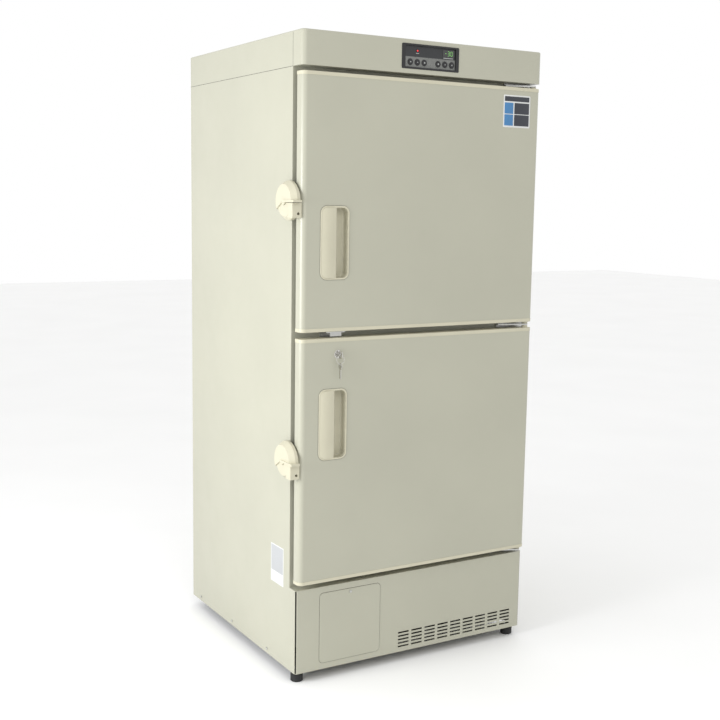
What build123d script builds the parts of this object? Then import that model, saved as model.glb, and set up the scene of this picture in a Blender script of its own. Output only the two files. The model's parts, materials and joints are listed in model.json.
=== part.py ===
from build123d import *
from math import cos, radians, sin, sqrt
import os

# Upright two-door laboratory freezer, in millimetres.
# X runs to the right as seen from the front, the doors face -Y, and Z is up.
# The origin is on the floor, under the middle of the footprint.

# Cabinet
width = 800.0
body_depth = 710.0
height = 1805.0
floor_gap = 32.0
header_height = 92.0
sheet = 1.0
flange = 22.0
side_wall = 80.0
back_wall = 80.0
top_wall = 90.0
floor_wall = 58.0
spacer_depth = 27.0
edge_radius = 4.0
stiffener_inset = 60.0
stiffener_proud = 3.0
stiffener_height = 30.0
spacer_inset = 150.0
spacer_drop = 150.0
spacer_width = 40.0
spacer_height = 90.0
spacer_corner = 8.0
opening_corner = 12.0
over = 1.0

# Doors
door_shell = 31.5
gasket_gap = 21.5
door_inset = 2.0
door_corner = 15.0
header_gap = 14.0
door_gap = 18.0
cap_height = 10.0
cap_proud = 0.8
cap_edge = 2.0
opening_margin = 38.0
plug_depth = 25.0
plug_gap = 12.0
gasket_inset = 15.0
gasket_width = 25.0
gasket_foot_depth = 5.0
gasket_foot_width = 12.0
gasket_neck_depth = 4.0
gasket_neck_width = 5.0
gasket_edge = 1.5
plug_corner = 8.0
plug_border = 35.0
plug_recess = 15.0
plug_recess_corner = 20.0
fit_gap = 0.3
run_gap = 0.05

# Hinges
hinge_inset = 16.0
hinge_setback = 19.0
hinge_pin_radius = 4.0
hinge_pin_reach = 8.5
leaf_thickness = 4.0
leaf_width = 96.0
leaf_nose = 12.0
leaf_upstand = 22.0
leaf_shoulder = 12.0
leaf_corner = 5.0
leaf_taper = 14.0
leaf_fall = 2.0
bush_radius = 9.0

# Recessed door handles
handle_inset = 102.0
handle_width = 90.0
handle_height = 200.0
handle_corner = 20.0
handle_lip = 5.0
handle_proud = 2.0
handle_edge = 1.2
cup_depth = 24.0
cup_wall = 2.0
grip_width = 44.0
grip_thickness = 7.0
grip_crown = 4.0
grip_fall = 1.5
cup_floor_radius = 6.0
upper_handle_rise = 242.0
lower_handle_drop = 241.0

# Side latches
latch_radius = 55.0
latch_face_radius = 45.0
latch_height = 27.0
latch_base = 4.0
latch_rim = 12.0
latch_wall = 3.0
latch_pin_radius = 5.0
latch_hub_radius = 10.0
latch_notch_lean = 1.66
latch_nest_gap = 0.6
latch_pin_gap = 3.0
latch_base_inset = 5.0
ledge_back = 4.0
ledge_proud = 3.0
ledge_thickness = 6.0
ledge_reach = 66.0
keeper_reach = 25.0
keeper_drop = 44.0
keeper_height = 29.0
keeper_corner = 3.0
keeper_clearance = 1.5
keeper_setback = 1.0
padlock_hole_radius = 4.0
padlock_hole_rise = 11.0
padlock_hole_inset = 9.5
upper_latch_rise = 6.0
lower_latch_rise = 4.6

# Door lock
lock_inset = 116.0
lock_drop = 45.0
lock_bezel_radius = 12.0
lock_bezel_proud = 3.0
lock_barrel_radius = 9.5
lock_plug_radius = 7.0
lock_depth = 22.0
cam_width = 12.0
cam_thickness = 3.0
cam_reach = 12.0
key_bow_radius = 11.0
key_bow_reach = 12.0
key_thickness = 2.0
key_hole_radius = 3.0
key_blade_length = 26.0
key_blade_width = 7.0
key_ring_radius = 12.0
key_ring_wire = 0.8
key_ring_sides = 8
key_socket_gap = 0.02
key_shoulder = 8.0
spare_bow_radius = 9.0
spare_hole_inset = 4.0
lock_bezel_edge = 1.2
plug_sink = 0.5
cam_slot_gap = 2.0
strike_thickness = 3.0
strike_half_width = 30.0
strike_lip_half_width = 18.0
strike_clearance = 5.0
strike_overlap = 8.0

# Control panel in the header
bezel_left = -93.0
bezel_width = 191.5
bezel_height = 68.0
bezel_rise = 12.0
bezel_side_rim = 11.5
bezel_rim = 5.0
bezel_tub_wall = 2.0
key_strip_height = 26.0
bezel_proud = 1.5
bezel_recess = 4.0
plate_thickness = 2.0
panel_key_radius = 8.5
panel_key_rise = 19.0
panel_key_inset = 29.3
panel_key_pitch = 23.1
panel_key_split = 46.1
panel_key_proud = 2.5
panel_key_gap = 0.4
panel_key_collar = 1.6
display_width = 39.2
display_height = 18.6
display_rise = 40.4
display_inset = 15.0
display_proud = 0.8
panel_bevel = 0.8
key_strip_proud = 0.5
header_wall = 2.5

# Lower front panel, with its louvres and the recorder space's cover
panel_height = 245.0
panel_setback = 15.0
cover_left = 75.5
cover_width = 205.0
cover_rise = 16.5
cover_height = 211.5
cover_corner = 12.0
cover_groove = 2.0
cover_step = 1.5
cover_edge = 0.7
louvre_columns = 9
louvre_rows = 5
louvre_height = 5.0
louvre_land = 9.3
louvre_gap = 64.1
louvre_row_pitch = 10.7
louvre_right = 39.0
louvre_rise = 14.0
panel_corner = 8.0
cover_lap = 8.0
filter_frame = 10.0
filter_depth = 8.0
filter_rise = 6.0
filter_drop = 30.0

# Base, feet and casters
base_top = 82.0
pan_thickness = 2.0
rail_width = 38.0
rail_wall = 2.0
cross_rail_rise = 8.0
foot_boss_rise = 12.0
foot_boss_wall = 5.0
caster_pad_margin = 4.0
caster_pad_depth = 70.0
base_overhang = 24.0
foot_inset = 23.0
foot_setback = 5.0
foot_radius = 18.0
foot_height = 26.0
foot_stud_radius = 5.0
foot_travel = 15.0
foot_shoulder = 5.0
foot_edge = 2.0
foot_hole_gap = 3.0
wheel_radius = 29.0
wheel_width = 22.0
wheel_bore = 4.0
front_wheel_lift = 1.0
caster_inset = 112.0
front_caster_inset = 130.0
rear_caster_inset = 115.0
caster_trail = 24.0
caster_plate = 62.0
fork_wall = 3.0
fork_gap = 1.0
fork_half_width = 18.0
fork_waist = 22.0
fork_crown_gap = 2.0
fork_ear = 8.0
fork_drop = 10.0
caster_plate_thickness = 3.0
caster_neck_radius = 20.0
caster_neck_depth = 9.0
wheel_edge = 3.0
wheel_rim = 7.0
wheel_dish = 5.0
wheel_hub_radius = 9.0

# Machine compartment
compressor_radius = 78.0
compressor_height = 150.0
compressor_side_inset = 230.0
compressor_inset = 190.0
compressor_rise = 10.0
compressor_plate = 4.0
compressor_lower_edge = 18.0
compressor_upper_edge = 30.0
compressor_upper_fall = 18.0
compressor_seam = 3.0
compressor_seam_half = 4.0
compressor_foot_out = 8.0
compressor_foot_in = 18.0
compressor_plate_side = 14.0
compressor_plate_end = 12.0
terminal_box_out = 26.0
terminal_box_in = 12.0
terminal_box_half = 28.0
terminal_box_low = 50.0
terminal_box_high = 12.0
mount_radius = 11.0
mount_taper = 8.0
condenser_width = 330.0
condenser_height = 165.0
condenser_depth = 44.0
condenser_side_inset = 250.0
condenser_fins = 22
condenser_rows = 5
condenser_setback = 45.0
condenser_rise = 4.0
condenser_end_plate = 2.0
condenser_fin_side = 10.0
condenser_fin_end = 6.0
condenser_fin_edge = 2.0
condenser_tube_inset = 18.0
fin_thickness = 1.0
fan_radius = 66.0
fan_blades = 5
fan_gap = 6.0
fan_pitch = 28.0
fan_hub_radius = 14.0
fan_blade_thickness = 1.5
fan_blade_root = 30.0
fan_blade_angle = 82.0
fan_blade_sink = 2.0
fan_hub_length = 12.0
fan_inset = 40.0
fan_setback = 12.0
shroud_sheet = 2.0
shroud_depth = 20.0
shroud_post_gap = 1.0
shroud_post_width = 8.0
shroud_post_half = 6.0
shroud_bar_half = 8.0
pipe_radius = 4.0
pipe_bend = 10.0
pipe_drop = 12.0
suction_inset = 30.0
suction_run = 200.0
suction_setback = 60.0
suction_wall = 1.0
drier_radius = 9.0
drier_length = 110.0
drier_inset = 220.0
drier_setback = 40.0
drier_neck = 4.0
motor_radius = 30.0
motor_length = 30.0
motor_setback = 20.0
motor_gap = 22.0
motor_shaft_radius = 3.0
motor_shaft_sink = 10.0

# Evaporator shelves
shelf_thickness = 3.0
shelf_gap = 2.0
tube_width = 8.0
tube_turns = 5
rib_height = 8.0
rib_depth = 6.0
rib_front = 60.0
rib_back = 20.0
channel_inset = 45.0
channel_end = 40.0
shelf_front = 62.0

# Rear
rear_cover_rise = 2.0
rear_slot_rows = 8
rear_slot_width = 150.0
rear_slot_height = 7.0
rear_slot_pitch = 200.0
rear_slot_margin = 30.0
inlet_inset = 90.0
inlet_rise = 60.0
inlet_nut_radius = 13.0
inlet_bore_radius = 5.0
inlet_length = 9.0

# Planes and levels worked out from the sizes above
overall_depth = door_shell + gasket_gap + body_depth + spacer_depth
door_front = -overall_depth / 2
door_back = door_front + door_shell
face_y = door_back + gasket_gap
back_y = face_y + body_depth
side_x = width / 2
door_x = side_x - door_inset
header_z = height - header_height
panel_top = floor_gap + panel_height
upper_door_top = header_z - header_gap
lower_door_bottom = panel_top + door_gap
door_height = (upper_door_top - lower_door_bottom - door_gap) / 2
upper_door_bottom = upper_door_top - door_height
lower_door_top = lower_door_bottom + door_height
opening_x = side_x - side_wall
inner_back = back_y - back_wall
foam_top = upper_door_top - opening_margin + top_wall
foam_bottom = lower_door_bottom + opening_margin - floor_wall
hinge_x = side_x - hinge_inset
hinge_y = door_front + hinge_setback
handle_x = -door_x + handle_inset
lock_x = -door_x + lock_inset
foot_x = side_x - foot_inset
caster_x = side_x - caster_inset
compressor_x = side_x - compressor_side_inset
condenser_x = side_x - condenser_side_inset
caster_height = base_top - pan_thickness - caster_plate_thickness

upper_levels = (upper_door_bottom, upper_door_top)
lower_levels = (lower_door_bottom, lower_door_top)


def front_plane(y):
    """A plane seen from the front: x to the right, y up, extruding towards -Y."""
    return Plane.XZ.offset(-y)


def side_plane(x):
    """A plane across the cabinet: x towards the back, y up, extruding towards +X."""
    return Plane.YZ.offset(x)


def slab(x, y, z, mode=Mode.ADD):
    """A block between two limits on each axis, inside the part that is being made."""
    size = (x[1] - x[0], y[1] - y[0], z[1] - z[0])
    with Locations(((x[0] + x[1]) / 2, (y[0] + y[1]) / 2, (z[0] + z[1]) / 2)):
        Box(*size, mode=mode)


def save(piece, name):
    """Label a finished piece and write it to its own file."""
    piece.label = name
    export_step(piece, f"parts/{name}.step")


def frame_sketch(y, half_width, low, high, band):
    """A rectangular ring seen from the front, its outer edge at the given limits."""
    with BuildSketch(front_plane(y)) as ring:
        with Locations((0, (low + high) / 2)):
            Rectangle(2 * half_width, high - low)
            Rectangle(2 * (half_width - band), high - low - 2 * band, mode=Mode.SUBTRACT)
    return ring.sketch


def door_plan(level, grow, back):
    """Plan of a door: square at the back and round at its two front corners."""
    half = door_x + grow
    front = door_front - grow
    with BuildSketch(Plane.XY.offset(level)) as plan:
        with Locations((0, (front + back) / 2)):
            Rectangle(2 * half, back - front)
        fillet(plan.vertices().group_by(Axis.Y)[0], door_corner + grow)
    return plan.sketch


def rounded_sketch(y, centre, size, corner):
    """A rectangle with round corners, seen from the front."""
    with BuildSketch(front_plane(y)) as shape:
        with Locations(centre):
            RectangleRounded(size[0], size[1], corner)
    return shape.sketch


os.makedirs("parts", exist_ok=True)


# Base frame: a pressed pan on four rails, with pads for the casters and the feet
def build_base_frame():
    half = side_x - sheet - fit_gap
    front = face_y - base_overhang
    back = back_y - sheet - fit_gap
    under = base_top - pan_thickness
    boss_low = floor_gap + foot_boss_rise
    places = [(sign * foot_x, face_y - foot_setback) for sign in (-1, 1)]
    with BuildPart() as pan:
        slab((-half, half), (front, back), (under, base_top))
        for sign in (-1, 1):
            pad_half = caster_plate / 2 + caster_pad_margin
            pad = (sign * caster_x - pad_half, sign * caster_x + pad_half)
            near = face_y + front_caster_inset
            reach = caster_pad_depth / 2
            slab(pad, (near - reach, near + reach), (caster_height + front_wheel_lift, under))
            far = back_y - rear_caster_inset
            slab(pad, (far - reach, far + reach), (caster_height, under))
        with BuildSketch(Plane.XY.offset(under - over)):
            with Locations(*places):
                Circle(foot_stud_radius + run_gap)
        extrude(amount=pan_thickness + 2 * over, mode=Mode.SUBTRACT)
    rails = []
    for place in places:
        with BuildPart() as boss:
            with BuildSketch(Plane.XY.offset(boss_low)):
                with Locations(place):
                    Circle(foot_stud_radius + foot_boss_wall)
                    Circle(foot_stud_radius + run_gap, mode=Mode.SUBTRACT)
            extrude(amount=under - boss_low)
        rails.append(boss.part)
    inner = half - rail_width / 2
    rail_front = face_y + foot_radius
    for low, high in (((-half, rail_front), (-inner, back)), ((inner, rail_front), (half, back))):
        with BuildPart() as rail:
            slab((low[0], high[0]), (low[1], high[1]), (floor_gap, under))
            slab(
                (low[0] + rail_wall, high[0] - rail_wall), (low[1] + rail_wall, high[1] - rail_wall),
                (floor_gap - over, under - rail_wall),
                mode=Mode.SUBTRACT,
            )
        rails.append(rail.part)
    for y in (rail_front + rail_width / 2, back - rail_width / 2):
        with BuildPart() as cross:
            half_rail = rail_width / 2
            hollow = half_rail - rail_wall
            slab((-inner, inner), (y - half_rail, y + half_rail), (floor_gap + cross_rail_rise, under))
            slab(
                (-inner, inner), (y - hollow, y + hollow),
                (floor_gap, under - rail_wall), mode=Mode.SUBTRACT,
            )
        rails.append(cross.part)
    save(Compound(children=[pan.part] + rails), "base_frame")


# Side panels: painted sheet with return flanges at the front and the back
def build_side_panels():
    with BuildPart() as left:
        with BuildSketch(Plane.XY.offset(floor_gap)):
            with Locations((-side_x, face_y)):
                Rectangle(flange, body_depth, align=(Align.MIN, Align.MIN))
            with Locations((-side_x + sheet, face_y + sheet)):
                Rectangle(flange, body_depth - 2 * sheet, align=(Align.MIN, Align.MIN), mode=Mode.SUBTRACT)
        extrude(amount=header_z - floor_gap)
        slab(
            (-side_x + sheet, -side_x + flange), (face_y, face_y + sheet),
            (floor_gap, base_top + fit_gap), mode=Mode.SUBTRACT,
        )
        fillet(left.edges().filter_by(Axis.Z).group_by(Axis.X)[0].group_by(Axis.Y)[0], sheet * 0.8)
    save(left.part, "side_panel_left")
    with BuildPart() as right:
        mirror(left.part, about=Plane.YZ)
    save(right.part, "side_panel_right")


def inlet_place():
    return -side_x + inlet_inset, base_top + inlet_rise


# Back panel above the machine compartment, and the louvred cover over it
def build_back():
    half = side_x - flange
    with BuildPart() as back_panel:
        slab((-half, half), (back_y - sheet, back_y), (foam_bottom, header_z))
        stiffener = (header_z - foam_bottom) / 4
        for step in (1, 2, 3):
            level = foam_bottom + step * stiffener
            slab(
                (-half + stiffener_inset, half - stiffener_inset), (back_y, back_y + stiffener_proud),
                (level - stiffener_height / 2, level + stiffener_height / 2),
            )
    save(back_panel.part, "back_panel")
    with BuildPart() as rear_cover:
        low, high = base_top + rear_cover_rise, foam_bottom - fit_gap
        slab((-half, half), (back_y - sheet, back_y), (low, high))
        pitch = (high - low - 2 * rear_slot_margin) / rear_slot_rows
        with BuildSketch(front_plane(back_y + over)):
            with Locations((0, (low + high) / 2)):
                with GridLocations(rear_slot_pitch, pitch, 3, rear_slot_rows):
                    Rectangle(rear_slot_width, rear_slot_height)
        extrude(amount=sheet + 2 * over, mode=Mode.SUBTRACT)
        with BuildSketch(front_plane(back_y + over)):
            with Locations(inlet_place()):
                Circle(inlet_bore_radius)
        extrude(amount=sheet + 2 * over, mode=Mode.SUBTRACT)
    save(rear_cover.part, "rear_cover")
    with BuildPart() as spacers:
        spacer_x = side_x - spacer_inset
        with Locations(*[(sign * spacer_x, back_y, header_z - spacer_drop) for sign in (-1, 1)]):
            with Locations((0, spacer_depth / 2, 0)):
                Box(spacer_width, spacer_depth, spacer_height)
        fillet(spacers.edges().filter_by(Axis.Z).group_by(Axis.Y)[-1], spacer_corner)
    save(spacers.part, "rear_spacers")


# Sheet face of the cabinet, which both door gaskets close against
def build_face_frame():
    half = side_x - flange
    with BuildPart() as face:
        slab((-half, half), (face_y, face_y + sheet), (foam_bottom, header_z))
        for low, high in (lower_levels, upper_levels):
            slab(
                (-opening_x, opening_x), (face_y - over, face_y + sheet + over),
                (low + opening_margin, high - opening_margin), mode=Mode.SUBTRACT,
            )
        fillet(face.edges().filter_by(Axis.Y).filter_by(
            lambda edge: abs(edge.center().X) < opening_x + over), opening_corner)
    save(face.part, "face_frame")


# Foamed insulation: one block with a pocket for each compartment
def build_insulation():
    half = side_x - sheet
    grow = sheet
    with BuildPart() as foam:
        slab((-half, half), (face_y + sheet, back_y - sheet), (foam_bottom, foam_top))
        for low, high in (lower_levels, upper_levels):
            slab(
                (-opening_x - grow, opening_x + grow), (face_y, inner_back + grow),
                (low + opening_margin - grow, high - opening_margin + grow), mode=Mode.SUBTRACT,
            )
        for sign in (-1, 1):
            edge = (sign * side_x, sign * (side_x - flange))
            slab((min(edge), max(edge)), (face_y, face_y + sheet + fit_gap), (0, height), mode=Mode.SUBTRACT)
    save(foam.part, "insulation")


# Inner liners: one steel tub for each compartment, ribbed to carry its two shelves
def shelf_levels(low, high):
    inner = high - low - 2 * opening_margin
    return [low + opening_margin + inner * share for share in (1 / 3, 2 / 3)]


def build_liners():
    tubs = []
    for low, high in (lower_levels, upper_levels):
        bottom, top = low + opening_margin, high - opening_margin
        with BuildPart() as tub:
            slab(
                (-opening_x - sheet, opening_x + sheet), (face_y + sheet, inner_back + sheet),
                (bottom - sheet, top + sheet),
            )
            slab((-opening_x, opening_x), (face_y, inner_back), (bottom, top), mode=Mode.SUBTRACT)
            for level in shelf_levels(low, high):
                for sign in (-1, 1):
                    rib = sorted((sign * opening_x, sign * (opening_x - rib_depth)))
                    slab(rib, (face_y + rib_front, inner_back - rib_back), (level - rib_height, level))
        tubs.append(tub.part)
    save(Compound(children=tubs), "interior_liners")


# Evaporator shelves: plates with the refrigerant channel raised on their underside
def build_shelves():
    half = opening_x - shelf_gap
    front, back = face_y + shelf_front, inner_back - shelf_gap
    run = (half - channel_inset) / tube_turns
    shelves = []
    for level in shelf_levels(*lower_levels) + shelf_levels(*upper_levels):
        with BuildPart() as shelf:
            slab((-half, half), (front, back), (level, level + shelf_thickness))
            with BuildSketch(Plane.XY.offset(level + shelf_thickness)):
                for turn in range(2 * tube_turns + 1):
                    x = -half + channel_inset + turn * run
                    with Locations((x, (front + back) / 2)):
                        Rectangle(tube_width, back - front - 2 * channel_end)
                    if turn < 2 * tube_turns:
                        y = back - channel_end if turn % 2 else front + channel_end
                        with Locations((x + run / 2, y)):
                            Rectangle(run + tube_width, tube_width)
            extrude(amount=shelf_thickness)
            slab((-half, half), (front, front + shelf_thickness), (level, level + 4 * shelf_thickness))
        shelves.append(shelf.part)
    save(Compound(children=shelves), "evaporator_shelves")


# Top cover: a sheet tray with skirts that stand on the side panels
def build_top_cover():
    with BuildPart() as cover:
        slab((-side_x, side_x), (face_y, back_y), (header_z, height))
        top_edges = cover.edges().group_by(Axis.Z)[-1]
        fillet(top_edges.filter_by(lambda edge: edge.center().Y > face_y + over), edge_radius)
        with BuildPart(mode=Mode.PRIVATE) as hollow:
            slab(
                (-side_x + sheet, side_x - sheet), (face_y - edge_radius, back_y - sheet),
                (header_z - edge_radius, height - sheet),
            )
            inner_edges = hollow.edges().group_by(Axis.Z)[-1]
            fillet(inner_edges.filter_by(lambda edge: edge.center().Y > face_y - over), edge_radius - sheet)
        add(hollow.part, mode=Mode.SUBTRACT)
    save(cover.part, "top_cover")


# Header cover: a moulded box across the front, open at its back
def header_block(shrink):
    front = door_front + shrink
    with BuildSketch(Plane.XY.offset(header_z + shrink)) as plan:
        with Locations((0, (front + face_y) / 2)):
            Rectangle(width - 2 * shrink, face_y - front)
        fillet(plan.vertices().group_by(Axis.Y)[0], door_corner - shrink)
    return plan.sketch


def bezel_tub(grow):
    """Outline of the tub behind the control panel's bezel, and of the hole that takes it."""
    extra = 2 * (bezel_tub_wall + grow)
    return bezel_width - 2 * bezel_side_rim + extra, bezel_height - 2 * bezel_rim + extra


def build_header_cover():
    wall = header_wall
    bezel_x = bezel_left + bezel_width / 2
    bezel_z = header_z + bezel_rise + bezel_height / 2
    with BuildPart() as cover:
        extrude(header_block(0), amount=header_height)
        fillet(cover.faces().sort_by(Axis.Z)[-1].edges().filter_by(
            lambda edge: edge.center().Y < face_y - over), edge_radius)
        extrude(header_block(wall), amount=header_height - 2 * wall, mode=Mode.SUBTRACT)
        slab(
            (-side_x + wall, side_x - wall), (face_y - 4, face_y + 1),
            (header_z + wall, height - wall), mode=Mode.SUBTRACT,
        )
        extrude(
            rounded_sketch(door_front - 1, (bezel_x, bezel_z), bezel_tub(fit_gap), 3),
            amount=-(wall + 3), mode=Mode.SUBTRACT,
        )
        hinge_slot = (hinge_x - leaf_width, side_x - wall - 1)
        slab(hinge_slot, (face_y - 8, face_y + 1), (header_z - 1, header_z + wall + 1), mode=Mode.SUBTRACT)
    save(cover.part, "header_cover")


# Control panel: bezel, plate with six round keys, and the display's window
def panel_key_places():
    first = bezel_left + panel_key_inset
    places = [first + index * panel_key_pitch for index in range(3)]
    second = places[-1] + panel_key_split
    return places + [second + index * panel_key_pitch for index in range(3)]


def build_control_panel():
    bezel_x = bezel_left + bezel_width / 2
    bezel_z = header_z + bezel_rise + bezel_height / 2
    key_z = header_z + bezel_rise + panel_key_rise
    inner = (bezel_width - 2 * bezel_side_rim, bezel_height - 2 * bezel_rim)
    plate_front = door_front + bezel_recess - bezel_proud
    with BuildPart() as bezel:
        extrude(
            rounded_sketch(door_front, (bezel_x, bezel_z), (bezel_width, bezel_height), 4),
            amount=bezel_proud,
        )
        chamfer(bezel.faces().sort_by(Axis.Y)[0].edges(), panel_bevel)
        extrude(
            rounded_sketch(door_front, (bezel_x, bezel_z), bezel_tub(0), 3),
            amount=-(bezel_recess + plate_thickness),
        )
        extrude(
            rounded_sketch(door_front - bezel_proud - 1, (bezel_x, bezel_z), inner, 2),
            amount=-(bezel_recess + plate_thickness + 5), mode=Mode.SUBTRACT,
        )
    save(bezel.part, "control_bezel")
    with BuildPart() as plate:
        extrude(rounded_sketch(plate_front, (bezel_x, bezel_z), inner, 2), amount=-plate_thickness)
        with BuildSketch(front_plane(plate_front)):
            with Locations((bezel_x, key_z)):
                Rectangle(inner[0] - 2, key_strip_height)
        extrude(amount=key_strip_proud)
        with BuildSketch(front_plane(plate_front - 2)):
            with Locations(*[(x, key_z) for x in panel_key_places()]):
                Circle(panel_key_radius + panel_key_gap)
        extrude(amount=-(plate_thickness + 4), mode=Mode.SUBTRACT)
    save(plate.part, "control_plate")
    window_x = bezel_left + bezel_width - display_inset - display_width / 2
    window_z = header_z + bezel_rise + display_rise + display_height / 2
    with BuildPart() as window:
        extrude(
            rounded_sketch(plate_front, (window_x, window_z), (display_width, display_height), 1.5),
            amount=display_proud,
        )
    save(window.part, "display_window")
    for number, x in enumerate(panel_key_places(), start=1):
        with BuildPart() as key:
            with BuildSketch(front_plane(plate_front + plate_thickness + panel_key_gap)):
                with Locations((x, key_z)):
                    Circle(panel_key_radius)
            extrude(amount=plate_thickness + panel_key_gap + panel_key_proud)
            chamfer(key.faces().sort_by(Axis.Y)[0].edges(), panel_bevel)
            with BuildSketch(front_plane(plate_front + plate_thickness + fit_gap)):
                with Locations((x, key_z)):
                    Circle(panel_key_radius + panel_key_collar)
            extrude(amount=-1.5)
        save(key.part, f"panel_key_{number}")


# Hinge brackets: a leaf in each gap beside the doors, with its pins riveted in
def hinge_leaf_levels():
    """The underside of each leaf, and whether it holds a door above or below it."""
    return (
        (lower_door_bottom - (door_gap + leaf_thickness) / 2, True, False),
        (lower_door_top + (door_gap - leaf_thickness) / 2, True, True),
        (upper_door_top + (header_gap - leaf_thickness) / 2, False, True),
    )


def build_hinges():
    pieces = []
    leaf_left = hinge_x + leaf_nose - leaf_width
    right = hinge_x + leaf_nose
    for level, above, below in hinge_leaf_levels():
        with BuildPart() as leaf:
            with BuildSketch(Plane.XY.offset(level)):
                with BuildLine():
                    Polyline(
                        (leaf_left, face_y), (leaf_left, face_y - leaf_shoulder),
                        (hinge_x - leaf_nose - leaf_taper, hinge_y - leaf_fall),
                        (hinge_x, hinge_y - leaf_nose), (right, hinge_y), (right, face_y), close=True,
                    )
                make_face()
            extrude(amount=leaf_thickness)
            fillet(leaf.edges().filter_by(Axis.Z).group_by(Axis.Y)[0], leaf_corner)
            middle = level + leaf_thickness / 2
            slab(
                (leaf_left, right), (face_y - leaf_thickness, face_y),
                (middle - leaf_upstand / 2, middle + leaf_upstand / 2),
            )
            with Locations((hinge_x, hinge_y, level + leaf_thickness / 2)):
                Cylinder(hinge_pin_radius, leaf_thickness + 2, mode=Mode.SUBTRACT)
        pieces.append(leaf.part)
        gap_above = lower_door_bottom - hinge_leaf_levels()[0][0] - leaf_thickness
        gap_below = level - (lower_door_top if above else upper_door_top)
        low = level - (gap_below + hinge_pin_reach if below else 0)
        high = level + leaf_thickness + (gap_above + hinge_pin_reach if above else 0)
        with BuildPart() as pin:
            with BuildSketch(Plane.XY.offset(low)):
                with Locations((hinge_x, hinge_y)):
                    Circle(hinge_pin_radius)
            extrude(amount=high - low)
            chamfer(pin.edges().filter_by(GeomType.CIRCLE), 0.6)
        pieces.append(pin.part)
    save(Compound(children=pieces), "hinge_brackets")


# Doors: each has a folded skin, end caps, a foamed inner panel, a gasket and a handle
def handle_hole(y, centre_z, grow):
    tub = handle_lip - cup_wall + grow
    size = (handle_width - 2 * handle_lip + 2 * cup_wall + 2 * grow,
            handle_height - 2 * handle_lip + 2 * cup_wall + 2 * grow)
    return rounded_sketch(y, (handle_x, centre_z), size, handle_corner - tub)


def build_door(side, low, high, handle_z, lock_z):
    inner_low, inner_high = low + cap_height, high - cap_height
    plug_x = opening_x - plug_gap
    plug_low, plug_high = low + opening_margin + plug_gap, high - opening_margin - plug_gap
    with BuildPart() as skin:
        extrude(door_plan(inner_low, 0, door_back), amount=inner_high - inner_low)
        extrude(
            door_plan(inner_low, -sheet, door_back + 1), amount=inner_high - inner_low,
            mode=Mode.SUBTRACT,
        )
        extrude(handle_hole(door_front - 1, handle_z, fit_gap), amount=-(sheet + 4), mode=Mode.SUBTRACT)
        if lock_z:
            with Locations((lock_x, door_front, lock_z)):
                Cylinder(lock_barrel_radius + fit_gap, 8, rotation=(90, 0, 0), mode=Mode.SUBTRACT)
    save(skin.part, f"{side}_door_skin")

    caps = []
    for level, outer_end in ((low, 0), (inner_high, -1)):
        with BuildPart() as cap:
            extrude(door_plan(level, cap_proud, door_back), amount=cap_height)
            end_face = cap.faces().sort_by(Axis.Z)[outer_end]
            fillet(end_face.edges().filter_by(lambda edge: edge.center().Y < door_back - 1), cap_edge)
            with Locations((hinge_x, hinge_y, level + cap_height / 2)):
                Cylinder(hinge_pin_radius + run_gap, cap_height + 2, mode=Mode.SUBTRACT)
            if lock_z and outer_end:
                sweep = cam_sweep(lock_z, high, level)
                slab(
                    (lock_x - cam_width / 2 - cam_slot_gap, lock_x + sweep + cam_slot_gap), cam_slot(),
                    (level - over, high + over), mode=Mode.SUBTRACT,
                )
        caps.append(cap.part)
        leaf_gap = (door_gap - leaf_thickness) / 2
        if outer_end and side == "upper":
            leaf_gap = (header_gap - leaf_thickness) / 2
        base = high if outer_end else low - leaf_gap + fit_gap
        with BuildPart() as washer:
            with BuildSketch(Plane.XY.offset(base)):
                with Locations((hinge_x, hinge_y)):
                    Circle(bush_radius)
                    Circle(hinge_pin_radius + run_gap, mode=Mode.SUBTRACT)
            extrude(amount=leaf_gap - fit_gap)
        caps.append(washer.part)
    save(Compound(children=caps), f"{side}_door_end_caps")

    with BuildPart() as inner:
        extrude(door_plan(inner_low, -sheet, door_back), amount=inner_high - inner_low)
        slab((-plug_x, plug_x), (door_back - 1, face_y + plug_depth), (plug_low, plug_high))
        back_face = inner.faces().sort_by(Axis.Y)[-1]
        fillet(back_face.edges(), plug_corner)
        with BuildSketch(front_plane(face_y + plug_depth + 1)):
            with Locations((0, (low + high) / 2)):
                RectangleRounded(
                    2 * (plug_x - plug_border), plug_high - plug_low - 2 * plug_border, plug_recess_corner,
                )
        extrude(amount=plug_recess, mode=Mode.SUBTRACT)
        extrude(handle_hole(door_front, handle_z, fit_gap), amount=-(cup_depth + cup_wall), mode=Mode.SUBTRACT)
        if lock_z:
            reach = lock_reach(lock_z, high)
            with Locations((lock_x, door_front, lock_z)):
                Cylinder(
                    lock_barrel_radius + fit_gap, 2 * (lock_depth + over),
                    rotation=(90, 0, 0), mode=Mode.SUBTRACT,
                )
            slab(
                (lock_x - cam_width / 2 - cam_slot_gap, lock_x + reach + cam_slot_gap), cam_slot(),
                (lock_z - cam_width / 2 - cam_slot_gap, inner_high + over), mode=Mode.SUBTRACT,
            )
    save(inner.part, f"{side}_door_inner_panel")

    bulb_depth = gasket_gap - gasket_foot_depth - gasket_neck_depth - fit_gap
    layers = (
        (gasket_foot_depth, gasket_foot_width),
        (gasket_neck_depth, gasket_neck_width),
        (bulb_depth, gasket_width),
    )
    with BuildPart() as gasket:
        level = door_back
        for thickness, band in layers:
            inset = gasket_inset + (gasket_width - band) / 2
            extrude(
                frame_sketch(level, door_x - inset, low + inset, high - inset, band),
                amount=-thickness,
            )
            level += thickness
        outer = gasket.faces().sort_by(Axis.Y)[-1].edges()
        chamfer(outer, gasket_edge)
    save(gasket.part, f"{side}_door_gasket")
    build_handle(side, handle_z)


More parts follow.
